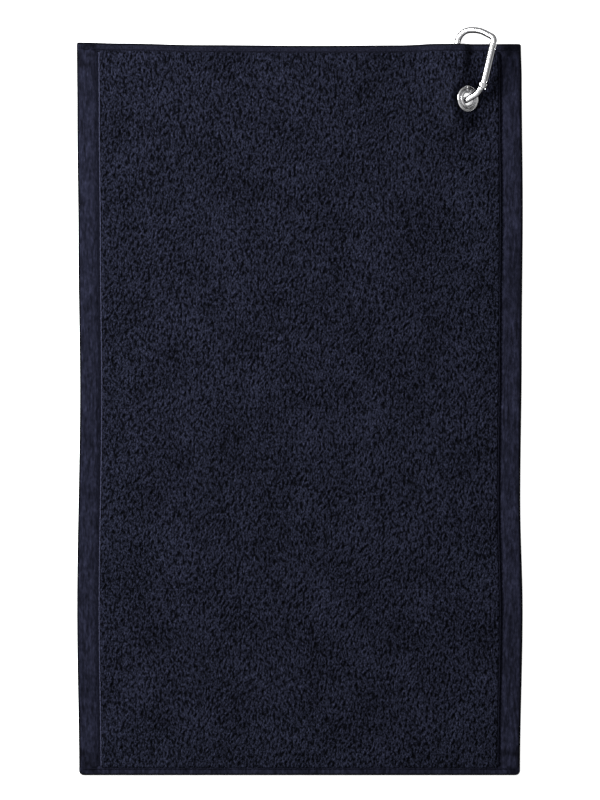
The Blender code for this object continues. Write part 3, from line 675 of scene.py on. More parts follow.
class Wardrobe:
    """Builds each finish's material once and dresses pieces with it."""

    def __init__(self) -> None:
        """Builds the shared effects."""
        self.effects = SharedEffects()
        self.made: dict[str, bpy.types.Material] = {}

    def dress(self, piece: bpy.types.Object, finish: ClothFinish | MetalFinish) -> None:
        """Gives a piece the finish as its only material.

        Args:
            piece: The object to dress.
            finish: The finish it gets.
        """
        if finish.name not in self.made:
            self.made[finish.name] = finish.material(self.effects)
        piece.data.materials.clear()
        piece.data.materials.append(self.made[finish.name])

    def repaint(self, node: bpy.types.Object, finish: ClothFinish | MetalFinish) -> None:
        """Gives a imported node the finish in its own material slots."""
        if finish.name not in self.made:
            self.made[finish.name] = finish.material(self.effects)
        for holder in node.material_slots:
            holder.material = self.made[finish.name]


# --- cloth ------------------------------------------------------------------------------------------
@dataclass
class LoopPile:
    """Terry loops: short rounded strokes that lean this way and that in loose rows."""

    pitch_across: float = 1.55 * MM
    pitch_along: float = 2.7 * MM
    half_width: float = 0.8 * MM
    half_length: float = 2.0 * MM
    lean: float = math.radians(20.0)
    swirl: float = math.radians(16.0)
    swirl_pitch: float = 26.0 * MM
    jitter: float = 0.42
    lowest: float = 0.62
    pulled_share: float = 0.06
    pulled_height: float = 0.55
    slope: float = 0.18
    table: int = 512

    def heights(self, x: Array, y: Array, seed: int) -> Array:
        """How far the pile stands at each place, from 0 in the gaps to about 1 on the loops.

        Args:
            x: Places across.
            y: Places along.
            seed: Number that fixes the loops.

        Returns:
            Heights of the places' shape.
        """
        rng = np.random.default_rng(seed)
        shape = (self.table, self.table)
        shift_x, shift_y = rng.uniform(-self.jitter, self.jitter, (2, *shape))
        lean = rng.normal(0.0, self.lean, shape)
        tall = rng.uniform(self.lowest, 1.0, shape) * np.where(rng.random(shape) < self.pulled_share,
                                                               self.pulled_height, 1.0)
        drift = smooth_noise(x, y, self.swirl_pitch, seed + 1) * self.swirl
        column = np.floor(x / self.pitch_across).astype(int)
        row = np.floor(y / self.pitch_along).astype(int)
        best = np.zeros(np.shape(x))
        for di in range(-2, 3):
            for dj in range(-1, 2):
                i, j = column + di, row + dj
                ii, jj = i % shape[0], j % shape[1]
                centre_x = (i + 0.5 + shift_x[ii, jj]) * self.pitch_across
                centre_y = (j + 0.5 + 0.5 * (i % 2) + shift_y[ii, jj]) * self.pitch_along
                angle = lean[ii, jj] + drift
                dx, dy = x - centre_x, y - centre_y
                across = (dx * np.cos(angle) + dy * np.sin(angle)) / self.half_width
                along = (dy * np.cos(angle) - dx * np.sin(angle)) / self.half_length
                bulge = np.sqrt(np.clip(1.0 - across ** 2, 0.0, 1.0)) * np.clip(1.0 - along ** 4, 0.0, 1.0)
                best = np.maximum(best, bulge * tall[ii, jj] * (1.0 - self.slope * along))
        return best


@dataclass
class TerryCloth:
    """The terry panel: a thin ground weave with loops standing on both faces."""

    lie: ClothLie
    thickness: float = 3.2 * MM
    seam_gap: float = 0.25 * MM
    tiles: int = 4
    fine_across: int = 440
    fine_along: int = 616
    back_step: int = 2
    hole_radius: float = 5.4 * MM
    flange_clear: tuple[float, float] = (9.2 * MM, 11.4 * MM)
    half_ground: float = 0.06 * MM
    edge_round: float = 0.9 * MM
    face_seed: int = 11
    back_seed: int = 29
    pile: LoopPile = field(default_factory=LoopPile)
    ground_step: float = 3.0 * MM
    ground_inset: float = 0.8 * MM
    ground_share: float = 0.12

    def build(self, wardrobe: Wardrobe) -> tuple[bpy.types.Object, list[bpy.types.Object]]:
        """Builds the ground weave and the pile's tiles.

        Args:
            wardrobe: Gives the pieces their finish.

        Returns:
            The ground weave and the list of tiles.
        """
        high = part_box("terry_panel")[1]
        reach_x, reach_y = high.x + self.seam_gap, high.y + self.seam_gap
        ground = self._ground()
        wardrobe.dress(ground, GROUND)
        xs = np.linspace(-reach_x, reach_x, self.fine_across + 1)
        ys = np.linspace(-reach_y, reach_y, self.fine_along + 1)
        rows = self.fine_along // self.tiles
        tiles = []
        for t in range(self.tiles):
            tile = self._tile(f"terry_pile_{t + 1}", xs, ys[t * rows:(t + 1) * rows + 1], (reach_x, reach_y))
            wardrobe.dress(tile, TERRY)
            tiles.append(tile)
        return ground, tiles

    def _ground(self) -> bpy.types.Object:
        """The ground weave: one thin closed sheet as wide and long as the towel."""
        lie, step = self.lie, self.ground_step
        xs, ys = (np.linspace(self.ground_inset - half, half - self.ground_inset, 2 * round(half / step) + 1)
                  for half in (lie.half_width, lie.half_length))
        gx, gy = lie.drift(*np.meshgrid(xs, ys, indexing="ij"))
        under, face = lie.surfaces(gx, gy, lie.hem_thickness)
        top, low = (under + (0.5 + part) * (face - under) for part in (self.ground_share, -self.ground_share))
        bare = np.zeros(gx.shape)
        return self._slab("ground_weave", gx, gy, top, low, 1, bare, bare)

    def _tile(self, name: str, xs: Array, ys: Array, reach: tuple[float, float]) -> bpy.types.Object:
        """One closed tile of the pile, its loops on the face and, more coarsely, on the back."""
        lie = self.lie
        fx, fy = np.meshgrid(xs, ys, indexing="ij")
        gx, gy = lie.drift(fx, fy)
        margin = np.minimum(reach[0] - np.abs(fx), reach[1] - np.abs(fy))
        inwards = np.clip(margin / self.edge_round, 0.0, 1.0)
        round_off = np.sqrt(inwards * (2 - inwards))
        under, face = lie.surfaces(gx, gy, self.thickness)
        squeezed = smoothstep(lie.eyelet_reach(gx, gy), *self.flange_clear)
        depth = face - under
        middle = under + 0.5 * depth
        stand = (self.thickness - depth) * 0.55 * squeezed + 0.46 * depth
        loops = self.pile.heights(gx, gy, self.face_seed)
        top = middle + self.half_ground + stand * (0.25 + 0.87 * loops) * round_off
        back_loops = self.pile.heights(gx, gy, self.back_seed)
        low = middle - self.half_ground - 0.44 * depth * (0.2 + 0.8 * back_loops) * round_off
        return self._slab(name, gx, gy, top, low, self.back_step, loops * round_off, back_loops)

    def _slab(self, name: str, gx: Array, gy: Array, top: Array, low: Array, coarse: int,
              top_pile: Array, low_pile: Array) -> bpy.types.Object:
        """A closed slab between two height fields, open at the eyelet's hole.

        Args:
            name: The object's name.
            gx: Places across, one row for each line of the grid.
            gy: Places along.
            top: The face's heights on every grid point.
            low: The underside's heights, used on every coarse-th point.
            coarse: How many fine cells one cell of the underside spans.
            top_pile: How far the loops stand on the face, kept for the finish, which paints shade where it is
                low.
            low_pile: The same for the underside, on every grid point.

        Returns:
            The slab's object.
        """
        nx, ny = gx.shape
        bx, by, bz = gx[::coarse, ::coarse], gy[::coarse, ::coarse], low[::coarse, ::coarse]
        mx, my = bx.shape
        upper = np.arange(nx * ny).reshape(nx, ny)
        lower = nx * ny + np.arange(mx * my).reshape(mx, my)
        points = np.concatenate([np.stack([gx, gy, top], -1).reshape(-1, 3),
                                 np.stack([bx, by, bz], -1).reshape(-1, 3)])
        middle_x = (bx[:-1, :-1] + bx[1:, 1:]) / 2
        middle_y = (by[:-1, :-1] + by[1:, 1:]) / 2
        kept = self.lie.eyelet_reach(middle_x, middle_y) > self.hole_radius
        fine = np.repeat(np.repeat(kept, coarse, 0), coarse, 1)
        faces = self._cells(upper, fine) + [[a, d, c, b] for a, b, c, d in self._cells(lower, kept)]
        padded = np.pad(kept, 1)
        for i, j in np.argwhere(kept):
            f, g = i * coarse, j * coarse
            row = upper[f:f + coarse + 1, g:g + coarse + 1]
            for open_side, start, end, rim in (
                    (not padded[i + 1, j], (i, j), (i + 1, j), row[::-1, 0]),
                    (not padded[i + 1, j + 2], (i + 1, j + 1), (i, j + 1), row[:, -1]),
                    (not padded[i, j + 1], (i, j + 1), (i, j), row[0]),
                    (not padded[i + 2, j + 1], (i + 1, j), (i + 1, j + 1), row[-1, ::-1])):
                if open_side:
                    faces.append([lower[start], lower[end], *rim])
        pile = np.concatenate([top_pile.ravel(), low_pile[::coarse, ::coarse].ravel()])
        used = np.zeros(len(points), dtype=bool)
        used[np.concatenate([np.asarray(face) for face in faces])] = True
        renumbered = np.cumsum(used) - 1
        made = mesh_object(name, points[used], [[int(renumbered[v]) for v in face] for face in faces])
        keep_pile_and_shade(made, pile[used])
        planar_map(made)
        return made

    @staticmethod
    def _cells(index: Array, wanted: Array) -> list[list[int]]:
        """The wanted cells of a grid of point numbers, as faces that turn to +Z."""
        corners = (index[:-1, :-1], index[1:, :-1], index[1:, 1:], index[:-1, 1:])
        return np.stack([corner[wanted] for corner in corners], -1).tolist()


@dataclass
class FoldedStrip:
    """A band or hem: a flattened fold of flat-woven cloth that lies along an edge of the towel."""

    lie: ClothLie
    groove_depth: float = 1.0 * MM
    groove_width: float = 2.6 * MM
    # The groove, stitch, edge and rumple shades are painted shade: they darken the groove by the seam, the
    # stitch dips, the rolled outer edge and the rumples near the ends.
    groove_shade: float = 0.4
    stitch_shade: float = 0.65
    edge_shade: float = 0.97
    edge_width: float = 1.9 * MM
    stitch_pitch: float = 3.4 * MM
    station: float = 1.15 * MM
    across_points: int = 15
    top_corner: float = 1.4 * MM
    bottom_corner: float = 3.2 * MM
    end_taper: float = 0.9 * MM
    end_least: float = 0.03
    side_powers: tuple[float, float] = (4.5, 2.4)
    pucker_pitches: tuple[float, float] = (5.5 * MM, 14 * MM)
    pucker_heights: tuple[float, float] = (0.16 * MM, 0.22 * MM)
    rumple_reach: tuple[float, float] = (19 * MM, 12 * MM)
    rumple_pitch: float = 3.4 * MM
    rumple_shade: float = 0.6

    def build(self, name: str, inner: float, outer: float, reach: float, along_y: bool,
              seed: int) -> bpy.types.Object:
        """Builds the strip.

        Args:
            name: The object's name.
            inner: Coordinate of the stitched edge, across the strip.
            outer: Coordinate of the folded edge.
            reach: How far the strip runs either way from the middle.
            along_y: Whether it runs along Y; otherwise along X.
            seed: Number that fixes its puckers.

        Returns:
            The strip's object.
        """
        count = 2 * round(reach / self.station)
        runs = np.linspace(-reach, reach, count + 1)
        ends = np.sqrt(np.clip((reach - np.abs(runs)) / self.end_taper + self.end_least, self.end_least, 1.0))
        turn = np.linspace(0.0, math.pi, self.across_points)
        share = (1 - np.cos(turn)) / 2
        squareness, fullness = self.side_powers
        swell = (1 - np.abs(2 * share - 1) ** squareness) ** (1 / fullness)
        u = inner + (outer - inner) * share
        run, across = np.meshgrid(runs, u, indexing="ij")
        x, y = (across, run) if along_y else (run, across)
        x, y = self._rounded(x, y)
        gx, gy = self.lie.drift(x, y)
        under, face = self.lie.surfaces(gx, gy, self.lie.hem_thickness)
        groove = 1 - smoothstep(np.abs(across - inner), 0.4 * self.groove_width, self.groove_width)
        stitches = 0.5 + 0.5 * np.cos(2 * math.pi * run / self.stitch_pitch)
        (short, long), (low_pucker, high_pucker) = self.pucker_pitches, self.pucker_heights
        pucker = (smooth_noise(gx, gy, short, seed) * low_pucker
                  + smooth_noise(gx * 0.5, gy, long, seed + 1) * high_pucker)
        face = face - self.groove_depth * groove * (0.6 + 0.4 * stitches) + pucker
        middle = (under + face) / 2
        half = (face - under) / 2 * swell[None, :] * ends[:, None]
        top, low = middle + half, middle - half
        ring = np.concatenate([np.stack([gx, gy, top], -1),
                               np.stack([gx, gy, low], -1)[:, -2:0:-1]], axis=1)
        made = mesh_object(name, ring, tube_faces(len(runs), ring.shape[1]))
        # Painted shade, kept in the pile attribute for the finish: the groove and its stitch dips, the rolled
        # outer edge and the rumples near the ends are darkened.
        seam_dimple_shade = self.groove_shade * groove * (1 - self.stitch_shade + self.stitch_shade * stitches ** 2)
        rolled = self.edge_shade * (1 - smoothstep(np.abs(outer - across), 0.2 * self.edge_width,
                                                   self.edge_width))
        rumpled = smoothstep(np.abs(run), *(reach - length for length in self.rumple_reach))
        hills = smooth_noise(gx, gy, self.rumple_pitch, seed + 2)
        rumple_patch_shade = np.clip(0.5 + 0.8 * hills, 0.0, 1.0) * rumpled * self.rumple_shade
        stand = np.clip(1.0 - np.maximum(np.maximum(seam_dimple_shade, rolled), rumple_patch_shade), 0.0, 1.0)
        keep_pile_and_shade(made, np.concatenate([stand, stand[:, -2:0:-1]], axis=1))
        planar_map(made)
        return made

    def _rounded(self, x: Array, y: Array) -> tuple[Array, Array]:
        """Moves places near the towel's corners onto its rounded outline."""
        radius = np.where(y > 0, self.top_corner, self.bottom_corner)
        inner_x, inner_y = self.lie.half_width - radius, self.lie.half_length - radius
        over_x, over_y = np.abs(x) - inner_x, np.abs(y) - inner_y
        corner = (over_x > 0) & (over_y > 0)
        distance = np.maximum(np.hypot(over_x, over_y), TINY)
        scale = np.where(corner, np.maximum(over_x, over_y) / distance, 1.0)
        return (np.where(corner, np.sign(x) * (inner_x + over_x * scale), x),
                np.where(corner, np.sign(y) * (inner_y + over_y * scale), y))


@dataclass
class LockStitch:
    """One thread of a lockstitch seam, which dips into the cloth between its stitches."""

    lie: ClothLie
    pitch: float = 3.4 * MM
    radius: float = 0.3 * MM
    flattening: float = 0.7
    sides: int = 8
    per_stitch: int = 8
    dip: float = 0.45 * MM
    arch_power: float = 0.6
    wander: float = 0.10 * MM

    def build(self, name: str, node: str, along_y: bool, thread: Thread, rise: float) -> bpy.types.Object:
        """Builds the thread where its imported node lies.

        Args:
            name: The object's name.
            node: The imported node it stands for.
            along_y: Whether it runs along Y; otherwise along X.
            thread: Which of the two threads it is.
            rise: Height of the thread's middle above the cloth's own middle, where it shows.

        Returns:
            The thread's object.
        """
        low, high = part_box(node)
        start, end = (low.y, high.y) if along_y else (low.x, high.x)
        fixed = (low.x + high.x) / 2 if along_y else (low.y + high.y) / 2
        stitches = round((end - start) / self.pitch)
        runs = np.linspace(start, end, stitches * self.per_stitch + 1)
        phase = (runs - start) / (end - start) * stitches
        arch = np.abs(np.sin(math.pi * phase)) ** self.arch_power
        wander = self.wander * np.sin(math.pi * phase)
        x, y = (fixed + wander, runs) if along_y else (runs, fixed + wander)
        gx, gy = self.lie.drift(x, y)
        under, face = self.lie.surfaces(gx, gy, self.lie.hem_thickness)
        z = (under + face) / 2 + thread.value * (rise - self.dip * (1.0 - arch))
        angles = np.arange(self.sides) * 2 * math.pi / self.sides
        aside, up = np.cos(angles) * self.radius, np.sin(angles) * self.radius * self.flattening
        sideways = (1.0, 0.0) if along_y else (0.0, 1.0)
        rings = np.stack([gx[:, None] + aside * sideways[0], gy[:, None] + aside * sideways[1],
                          z[:, None] + up], axis=-1)
        return mesh_object(name, rings, tube_faces(len(runs), self.sides))


@dataclass
class Towel:
    """The cloth sub-assembly: terry panel, bands, hems and seams."""

    lie: ClothLie
    tuck: float = 1.2 * MM
    # Widths of the painted shade along the bands' rolled outer edges.
    left_edge_shade_width: float = 1.8 * MM
    right_edge_shade_width: float = 2.6 * MM
    band_seed: int = 40
    fold_seed: int = 50
    side_needle: float = 0.42 * MM
    other_thread: float = 0.28 * MM
    needle_rise: float = 1.5 * MM
    bobbin_rise: float = 0.75 * MM

    def build(self, wardrobe: Wardrobe) -> None:
        ground, tiles = TerryCloth(self.lie).build(wardrobe)
        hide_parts("terry_panel")
        pieces = tiles + self._edges(wardrobe) + self._seams(wardrobe)
        for piece in (ground, *pieces):
            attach(piece, "towel")
            LOG.info("cloth piece %s", piece.name)

    def _edges(self, wardrobe: Wardrobe) -> list[bpy.types.Object]:
        """The two side bands and the two end hems, tucked a little under each other."""
        made = []
        for edge in (*Side, *End):
            name = edge.name.lower()
            low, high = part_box(f"{name}_hem")
            if edge in Side:
                inner, outer = sorted((low.x, high.x), key=abs)
                edge_shade_width = self.right_edge_shade_width if edge is Side.RIGHT else self.left_edge_shade_width
                strip = FoldedStrip(self.lie, edge_width=edge_shade_width)
                piece = strip.build(f"{name}_band", inner, outer, high.y + self.tuck, True,
                                    self.band_seed + edge.value)
            else:
                inner, outer = sorted((low.y, high.y), key=abs)
                inner -= math.copysign(2 * self.tuck, inner)
                strip = FoldedStrip(self.lie, groove_depth=0.2 * MM, groove_width=0.7 * MM, groove_shade=0.2)
                piece = strip.build(f"{name}_fold", inner, outer, high.x, False, self.fold_seed + edge.value)
            wardrobe.dress(piece, SHADED_HEM_TERRY if edge is End.TOP else BAND)
            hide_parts(f"{name}_hem")
            made.append(piece)
        return made

    def _seams(self, wardrobe: Wardrobe) -> list[bpy.types.Object]:
        """The needle and bobbin threads of the four seams."""
        made = []
        for edge in (*Side, *End):
            for thread in Thread:
                node = f"{edge.name.lower()}_seam_{thread.name.lower()}_thread"
                on_face = thread is Thread.NEEDLE
                stitch = LockStitch(self.lie, radius=self.side_needle if edge in Side and on_face
                                    else self.other_thread)
                piece = stitch.build(f"{edge.name.lower()}_{thread.name.lower()}_stitches", node,
                                     edge in Side, thread,
                                     self.needle_rise if on_face else self.bobbin_rise)
                # Painted light and shade: the left seam gets the lit copy of the thread, the others the
                # shaded copy.
                wardrobe.dress(piece, SEWING if edge is Side.LEFT else SHADED_SEWING)
                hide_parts(node)
                made.append(piece)
        return made


# --- eyelet -----------------------------------------------------------------------------------------
@dataclass
class Eyelet:
    """The pressed eyelet: flange, barrel rolled over at the back, and the washer it is rolled onto."""

    place: Matrix
    bore: float = 4.4 * MM
    wall: float = 0.45 * MM
    flange_radius: float = 9.0 * MM
    flange_under: float = 1.0 * MM
    flange_height: float = 1.25 * MM
    washer_radius: float = 8.6 * MM
    washer_height: float = 0.5 * MM
    roll_width: float = 1.5 * MM
    roll_height: float = 0.7 * MM
    roll_rounding: float = 1.3 * MM
    gap: float = 0.3 * MM
    roll_easing: tuple[float, float] = (0.3 * MM, 0.25 * MM)
    flange_inset: float = 0.5 * MM
    rim_round: float = 1.08 * MM
    rim_end: float = 158.0
    lip_round: float = 0.95 * MM
    lip_start: float = -12.0
    washer_easing: float = 0.08 * MM
    sides: int = 96

    def build(self, wardrobe: Wardrobe) -> None:
        """Builds both pieces."""
        for name, node, profile in (("eyelet_flange_and_barrel", "eyelet", self._barrel()),
                                    ("eyelet_back_washer", "eyelet_washer", self._washer())):
            piece = turned_object(name, profile, self.sides, self.place)
            wardrobe.dress(piece, PLATE)
            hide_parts(node)
            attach(piece, "towel")
            LOG.info("eyelet piece %s", name)

    def _barrel(self) -> list[tuple[float, float]]:
        """The eyelet's closed profile, from its rolled end up the bore and out over the flange."""
        crown = self.flange_under + self.flange_height
        washer_low = -self.flange_under - self.washer_height
        end = washer_low - self.gap - self.roll_height
        outer = self.bore + self.wall + self.roll_width
        first, second = self.roll_easing
        profile = arc((self.bore + self.roll_rounding, end + self.roll_rounding),
                      self.roll_rounding, 180, 270, 10)
        profile += arc((outer - first, end + first), first, 270, 360, 4)
        profile += arc((outer - second, end + self.roll_height - second), second, 0, 90, 3)
        profile += [(self.bore + self.wall, end + self.roll_height),
                    (self.bore + self.wall, self.flange_under),
                    (self.flange_radius - self.flange_inset, self.flange_under)]
        profile += arc((self.flange_radius - self.rim_round, self.flange_under), self.rim_round,
                       0, self.rim_end, 16)
        profile += arc((self.bore + self.lip_round, crown - self.lip_round), self.lip_round,
                       self.lip_start, 180, 18)
        return profile

    def _washer(self) -> list[tuple[float, float]]:
        """The washer's closed profile."""
        top, low = -self.flange_under, -self.flange_under - self.washer_height
        inner, ease = self.bore + self.wall + self.gap, self.washer_easing
        return [(inner, top), (inner, low), (self.washer_radius - 0.6 * MM, low),
                *arc((self.washer_radius - 0.25 * MM, low + 0.25 * MM), 0.2 * MM, -90, 0, 3),
                (self.washer_radius, top - ease), (self.washer_radius - ease, top)]


# --- clip -------------------------------------------------------------------------------------------
@dataclass
class ClipFrame:
    """The clip's axes and the gate's axes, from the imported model's joints."""

    eyelet: Vector
    pivot: Vector
    outward: Vector
    gate_along: Vector
    gate_lean: float = math.radians(14.0)

    @property
    def gate_across(self) -> Vector:
        """Across the gate in the clip's plane, away from the spine."""
        return self.gate_along.cross(self.outward).normalized()

    @property
    def clip_place(self) -> Matrix:
        """The clip's frame: X across, Y along, Z out of its plane, at the eyelet's centre."""
        across = self.gate_across * math.cos(self.gate_lean) + self.gate_along * math.sin(self.gate_lean)
        along = self.outward.cross(across).normalized()
        return self._matrix(self.eyelet, across, along, self.outward)

    @property
    def gate_place(self) -> Matrix:
        """The gate's frame: X across, Y along, at the pivot."""
        return self._matrix(self.pivot, self.gate_across, self.gate_along, self.outward)

    @staticmethod
    def _matrix(origin: Vector, x_axis: Vector, y_axis: Vector, z_axis: Vector) -> Matrix:
        """A matrix whose columns are the three axes, at origin."""
        made = Matrix((x_axis, y_axis, z_axis)).transposed().to_4x4()
        made.translation = origin
        return made


@dataclass
class SpringClip:
    """The clip: a bent rod with a gate that turns on a rivet and is pushed shut by a sprung plunger."""

    frame: ClipFrame
    rod: float = 2.1 * MM
    gate_radius: float = 2.6 * MM
    gate_length: float = 29.4 * MM
    nose_length: float = 3.9 * MM
    pivot_offset: float = 0.6 * MM
    tongue_half: float = 1.0 * MM
    eye_half: float = 2.0 * MM
    eye_end: float = 1.6 * MM
    nose_half: float = 1.75 * MM
    foot_lean: float = math.radians(34.0)
    foot_reach: float = 3.3 * MM
    gap: float = 0.3 * MM
    bore_radius: float = 1.75 * MM
    bore_depth: float = 14.0 * MM
    rivet_radius: float = 0.8 * MM
    rivet_head: float = 1.7 * MM
    rivet_dome: float = 0.7 * MM
    pin_radius: float = 0.6 * MM
    pin_clearance: float = 0.15 * MM
    pin_from_tip: float = 1.9 * MM
    groove_width: float = 0.55 * MM
    groove_depth: float = 0.5 * MM
    groove_angle: float = math.radians(48.0)
    tip_bend: tuple[float, float, float] = (0.8 * MM, 3.3 * MM, 3.4 * MM)
    top_bend: tuple[float, float, float] = (-11.1 * MM, 5.6 * MM, 19.0 * MM)
    spine_top: tuple[float, float, float] = (-7.8 * MM, 0.3 * MM, 9.5 * MM)
    spine_bottom: tuple[float, float, float] = (-5.9 * MM, -4.1 * MM, 4.4 * MM)
    elbow: tuple[float, float, float] = (7.4 * MM, 3.4 * MM, 6.0 * MM)
    bend_step: float = math.radians(4.0)
    spacing: float = 1.2 * MM
    soft: float = 0.18 * MM
    shoulder_gaps: float = 1.6
    nose_step: float = 0.04 * MM
    foot_step: float = 0.06 * MM
    neck: float = 0.1 * MM
    rod_sides: int = 36
    gate_sides: int = 48
    gate_edge: float = 0.8 * MM
    gate_trim: float = 0.2 * MM
    groove_ends: tuple[float, float] = (1.6 * MM, 1.8 * MM)
    rivet_sides: int = 40
    pin_sides: int = 24
    pin_ease: float = 0.12 * MM
    pole: float = 0.02 * MM
    cutter_sides: int = 32
    crisp: float = math.radians(32.0)

    def build(self, wardrobe: Wardrobe, frame: dict) -> None:
        """Builds the clip's pieces and repaints the small packed ones.

        Args:
            wardrobe: Gives the pieces their finish.
        """
        for piece, node, body in ((self._body(), "carabiner_body", "clip"),
                                  (self._gate(), "carabiner_gate", "gate"),
                                  (self._rivet(), "gate_rivet", "clip"),
                                  (self._pin(), "latch_pin", "gate")):
            wardrobe.dress(piece, NICKEL)
            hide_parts(node)
            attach(piece, body)
            LOG.info("clip piece %s", piece.name)
        wardrobe.repaint(frame["nodes"]["spring_plunger"], NICKEL)
        wardrobe.repaint(frame["nodes"]["gate_spring"], SPRING)

    @property
    def _gate_in_clip(self) -> tuple[Vector, Vector, Vector]:
        """The pivot and the gate's two axes in the clip's own plane."""
        inverse = self.frame.clip_place.inverted()
        pivot = inverse @ self.frame.pivot
        turn = inverse.to_3x3()
        along, across = turn @ self.frame.gate_along, turn @ self.frame.gate_across
        return pivot.to_2d(), across.to_2d().normalized(), along.to_2d().normalized()

    def _stations(self) -> list[tuple[Vector, float, float]]:
        """The body's centreline with each point's half width and half thickness."""
        pivot, across, along = self._gate_in_clip
        shoulder = self.gate_length + self.shoulder_gaps * self.gap
        axis = pivot + across * self.pivot_offset
        towards_eye = Vector((math.sin(self.foot_lean), math.cos(self.foot_lean)))
        nose = axis + along * shoulder
        foot = pivot - towards_eye * self.foot_reach
        tip = axis + along * self.gate_length
        tip_bend = (tip.x + self.tip_bend[0], tip.y + self.tip_bend[1], self.tip_bend[2])
        top_bend = (tip_bend[0] + self.top_bend[0], tip_bend[1] + self.top_bend[1], self.top_bend[2])
        spine_top = (self.spine_top[0], top_bend[1] + self.spine_top[1], self.spine_top[2])
        path = self._filleted([(*nose, 0.0), tip_bend, top_bend, spine_top, self.spine_bottom,
                               self.elbow, (*foot, 0.0)], self.bend_step, self.spacing)
        soft, rod, flat = self.soft, self.rod, self.tongue_half
        notched = self.gate_length - self.nose_length
        stations = [(axis + along * notched, self.nose_half - soft, flat - soft),
                    (axis + along * (notched + soft), self.nose_half, flat),
                    (axis + along * (shoulder - self.neck), self.nose_half, flat),
                    (axis + along * (shoulder - self.nose_step), rod - soft, rod - soft)]
        eased = path[0] + (path[1] - path[0]).normalized() * soft
        stations += [(point, rod, rod) for point in (path[0], eased, *path[1:])]
        stations += [(foot + towards_eye * self.foot_step, rod - soft, rod - soft),
                     (foot + towards_eye * self.neck, self.eye_half, flat),
                     (pivot + towards_eye * (self.eye_end - soft), self.eye_half, flat),
                     (pivot + towards_eye * self.eye_end, self.eye_half - soft, flat - soft)]
        return stations

    @staticmethod
    def _filleted(points: Sequence[tuple[float, float, float]], step: float,
                  spacing: float) -> list[Vector]:
        """A path through corners (x, y, radius), rounded there, with no step longer than spacing."""
        path = [Vector(points[0][:2])]
        for before, corner, after in zip(points, points[1:], points[2:]):
            here, radius = Vector(corner[:2]), corner[2]
            into = (here - Vector(before[:2])).normalized()
            out = (Vector(after[:2]) - here).normalized()
            turn = into.angle(out)
            tangent = radius * math.tan(turn / 2)
            side = 1.0 if into.x * out.y - into.y * out.x > 0 else -1.0
            centre = here - into * tangent + Vector((-into.y, into.x)) * side * radius
            start = here - into * tangent - centre
            count = max(3, round(turn / step))
            path += [centre + Matrix.Rotation(side * turn * i / count, 2) @ start for i in range(count + 1)]
        path.append(Vector(points[-1][:2]))
        spaced = [path[0]]
        for point in path[1:]:
            run = point - spaced[-1]
            parts = max(1, math.ceil(run.length / spacing))
            origin = spaced[-1].copy()
            spaced += [origin + run * k / parts for k in range(1, parts + 1)]
        return spaced

    def _body(self) -> bpy.types.Object:
        """The bent rod, notched at its nose and pierced at its eye."""
        stations = self._stations()
        turns = circle(self.rod_sides)
        rings = []
        for i, (point, half_width, half_thick) in enumerate(stations):
            before, after = stations[max(0, i - 1)][0], stations[min(len(stations) - 1, i + 1)][0]
            tangent = (after - before).normalized()
            normal = Vector((-tangent.y, tangent.x))
            rings.append([(point.x + normal.x * half_width * cosine, point.y + normal.y * half_width * cosine,
                           half_thick * sine) for cosine, sine in turns])
        body = mesh_object("clip_bent_rod", np.array(rings), tube_faces(len(rings), self.rod_sides))
        body.data.transform(self.frame.clip_place)
        hole = self._rod_cutter(self.rivet_radius + self.pin_clearance, (0.0, 0.0))
        along = self.gate_length - self.pin_from_tip
        room = self.pin_radius + self.pin_clearance + self.neck
        notch = self._box_cutter((-2 * self.gate_radius, along - room, -self.gate_radius),
                                 (self.pivot_offset + room, along + room, self.gate_radius))
        carve(body, [hole, notch])
        self._shade(body)
        return body

    def _gate(self) -> bpy.types.Object:
        """The gate bar: forked at both ends, bored for its spring, with a seam along it."""
        low, tip = -self.gate_radius, self.gate_length
        edge, lower = self.gate_edge, low + self.gate_trim
        outline = [(self.bore_radius, lower),
                   *arc((self.gate_radius - edge, lower + edge), edge, 270, 360, 6),
                   *arc((self.gate_radius - edge, tip - edge), edge, 0, 90, 6),
                   (0.0, tip), (0.0, self.bore_depth), (self.bore_radius, self.bore_depth)]
        sides, turns = self.gate_sides, circle(self.gate_sides)
        points, faces, starts = [], [], []
        for radius, height in outline:
            starts.append((len(points), 1 if radius == 0.0 else sides))
            count = starts[-1][1]
            points += [(self.pivot_offset + radius * cosine, height, -radius * sine)
                       for cosine, sine in turns[:count]]
        for (first, count), (after, other) in zip(starts, starts[1:] + starts[:1]):
            if count == 1 and other == 1:
                continue
            for k in range(sides):
                n = (k + 1) % sides
                ring = [first + k % count, first + n % count, after + n % other, after + k % other]
                faces.append(list(dict.fromkeys(ring)))
        gate = mesh_object("clip_gate_bar", np.array(points), faces)
        gate.data.transform(self.frame.gate_place)
        slot = self.tongue_half + self.gap
        wide = 2 * self.gate_radius
        corner = math.hypot(self.eye_end, self.eye_half)
        cutters = [
            self._box_cutter((-wide, -wide, -slot), (wide, corner + self.gap, slot)),
            self._box_cutter((-wide, tip - self.nose_length - 2 * self.gap, -slot), (wide, tip + wide, slot)),
            self._rod_cutter(self.rivet_radius + self.pin_clearance, (0.0, 0.0)),
            self._rod_cutter(self.pin_radius + self.pin_clearance,
                             (self.pivot_offset, tip - self.pin_from_tip)),
        ]
        start, stop = self.groove_ends
        groove = self._box_cutter((self.gate_radius - self.groove_depth, start, -self.groove_width / 2),
                                  (wide, tip - stop, self.groove_width / 2), placed=False)
        groove.data.transform(self.frame.gate_place @ Matrix.Translation((self.pivot_offset, 0.0, 0.0))
                              @ Matrix.Rotation(-self.groove_angle, 4, "Y"))
        carve(gate, [*cutters, groove])
        self._shade(gate)
        return gate

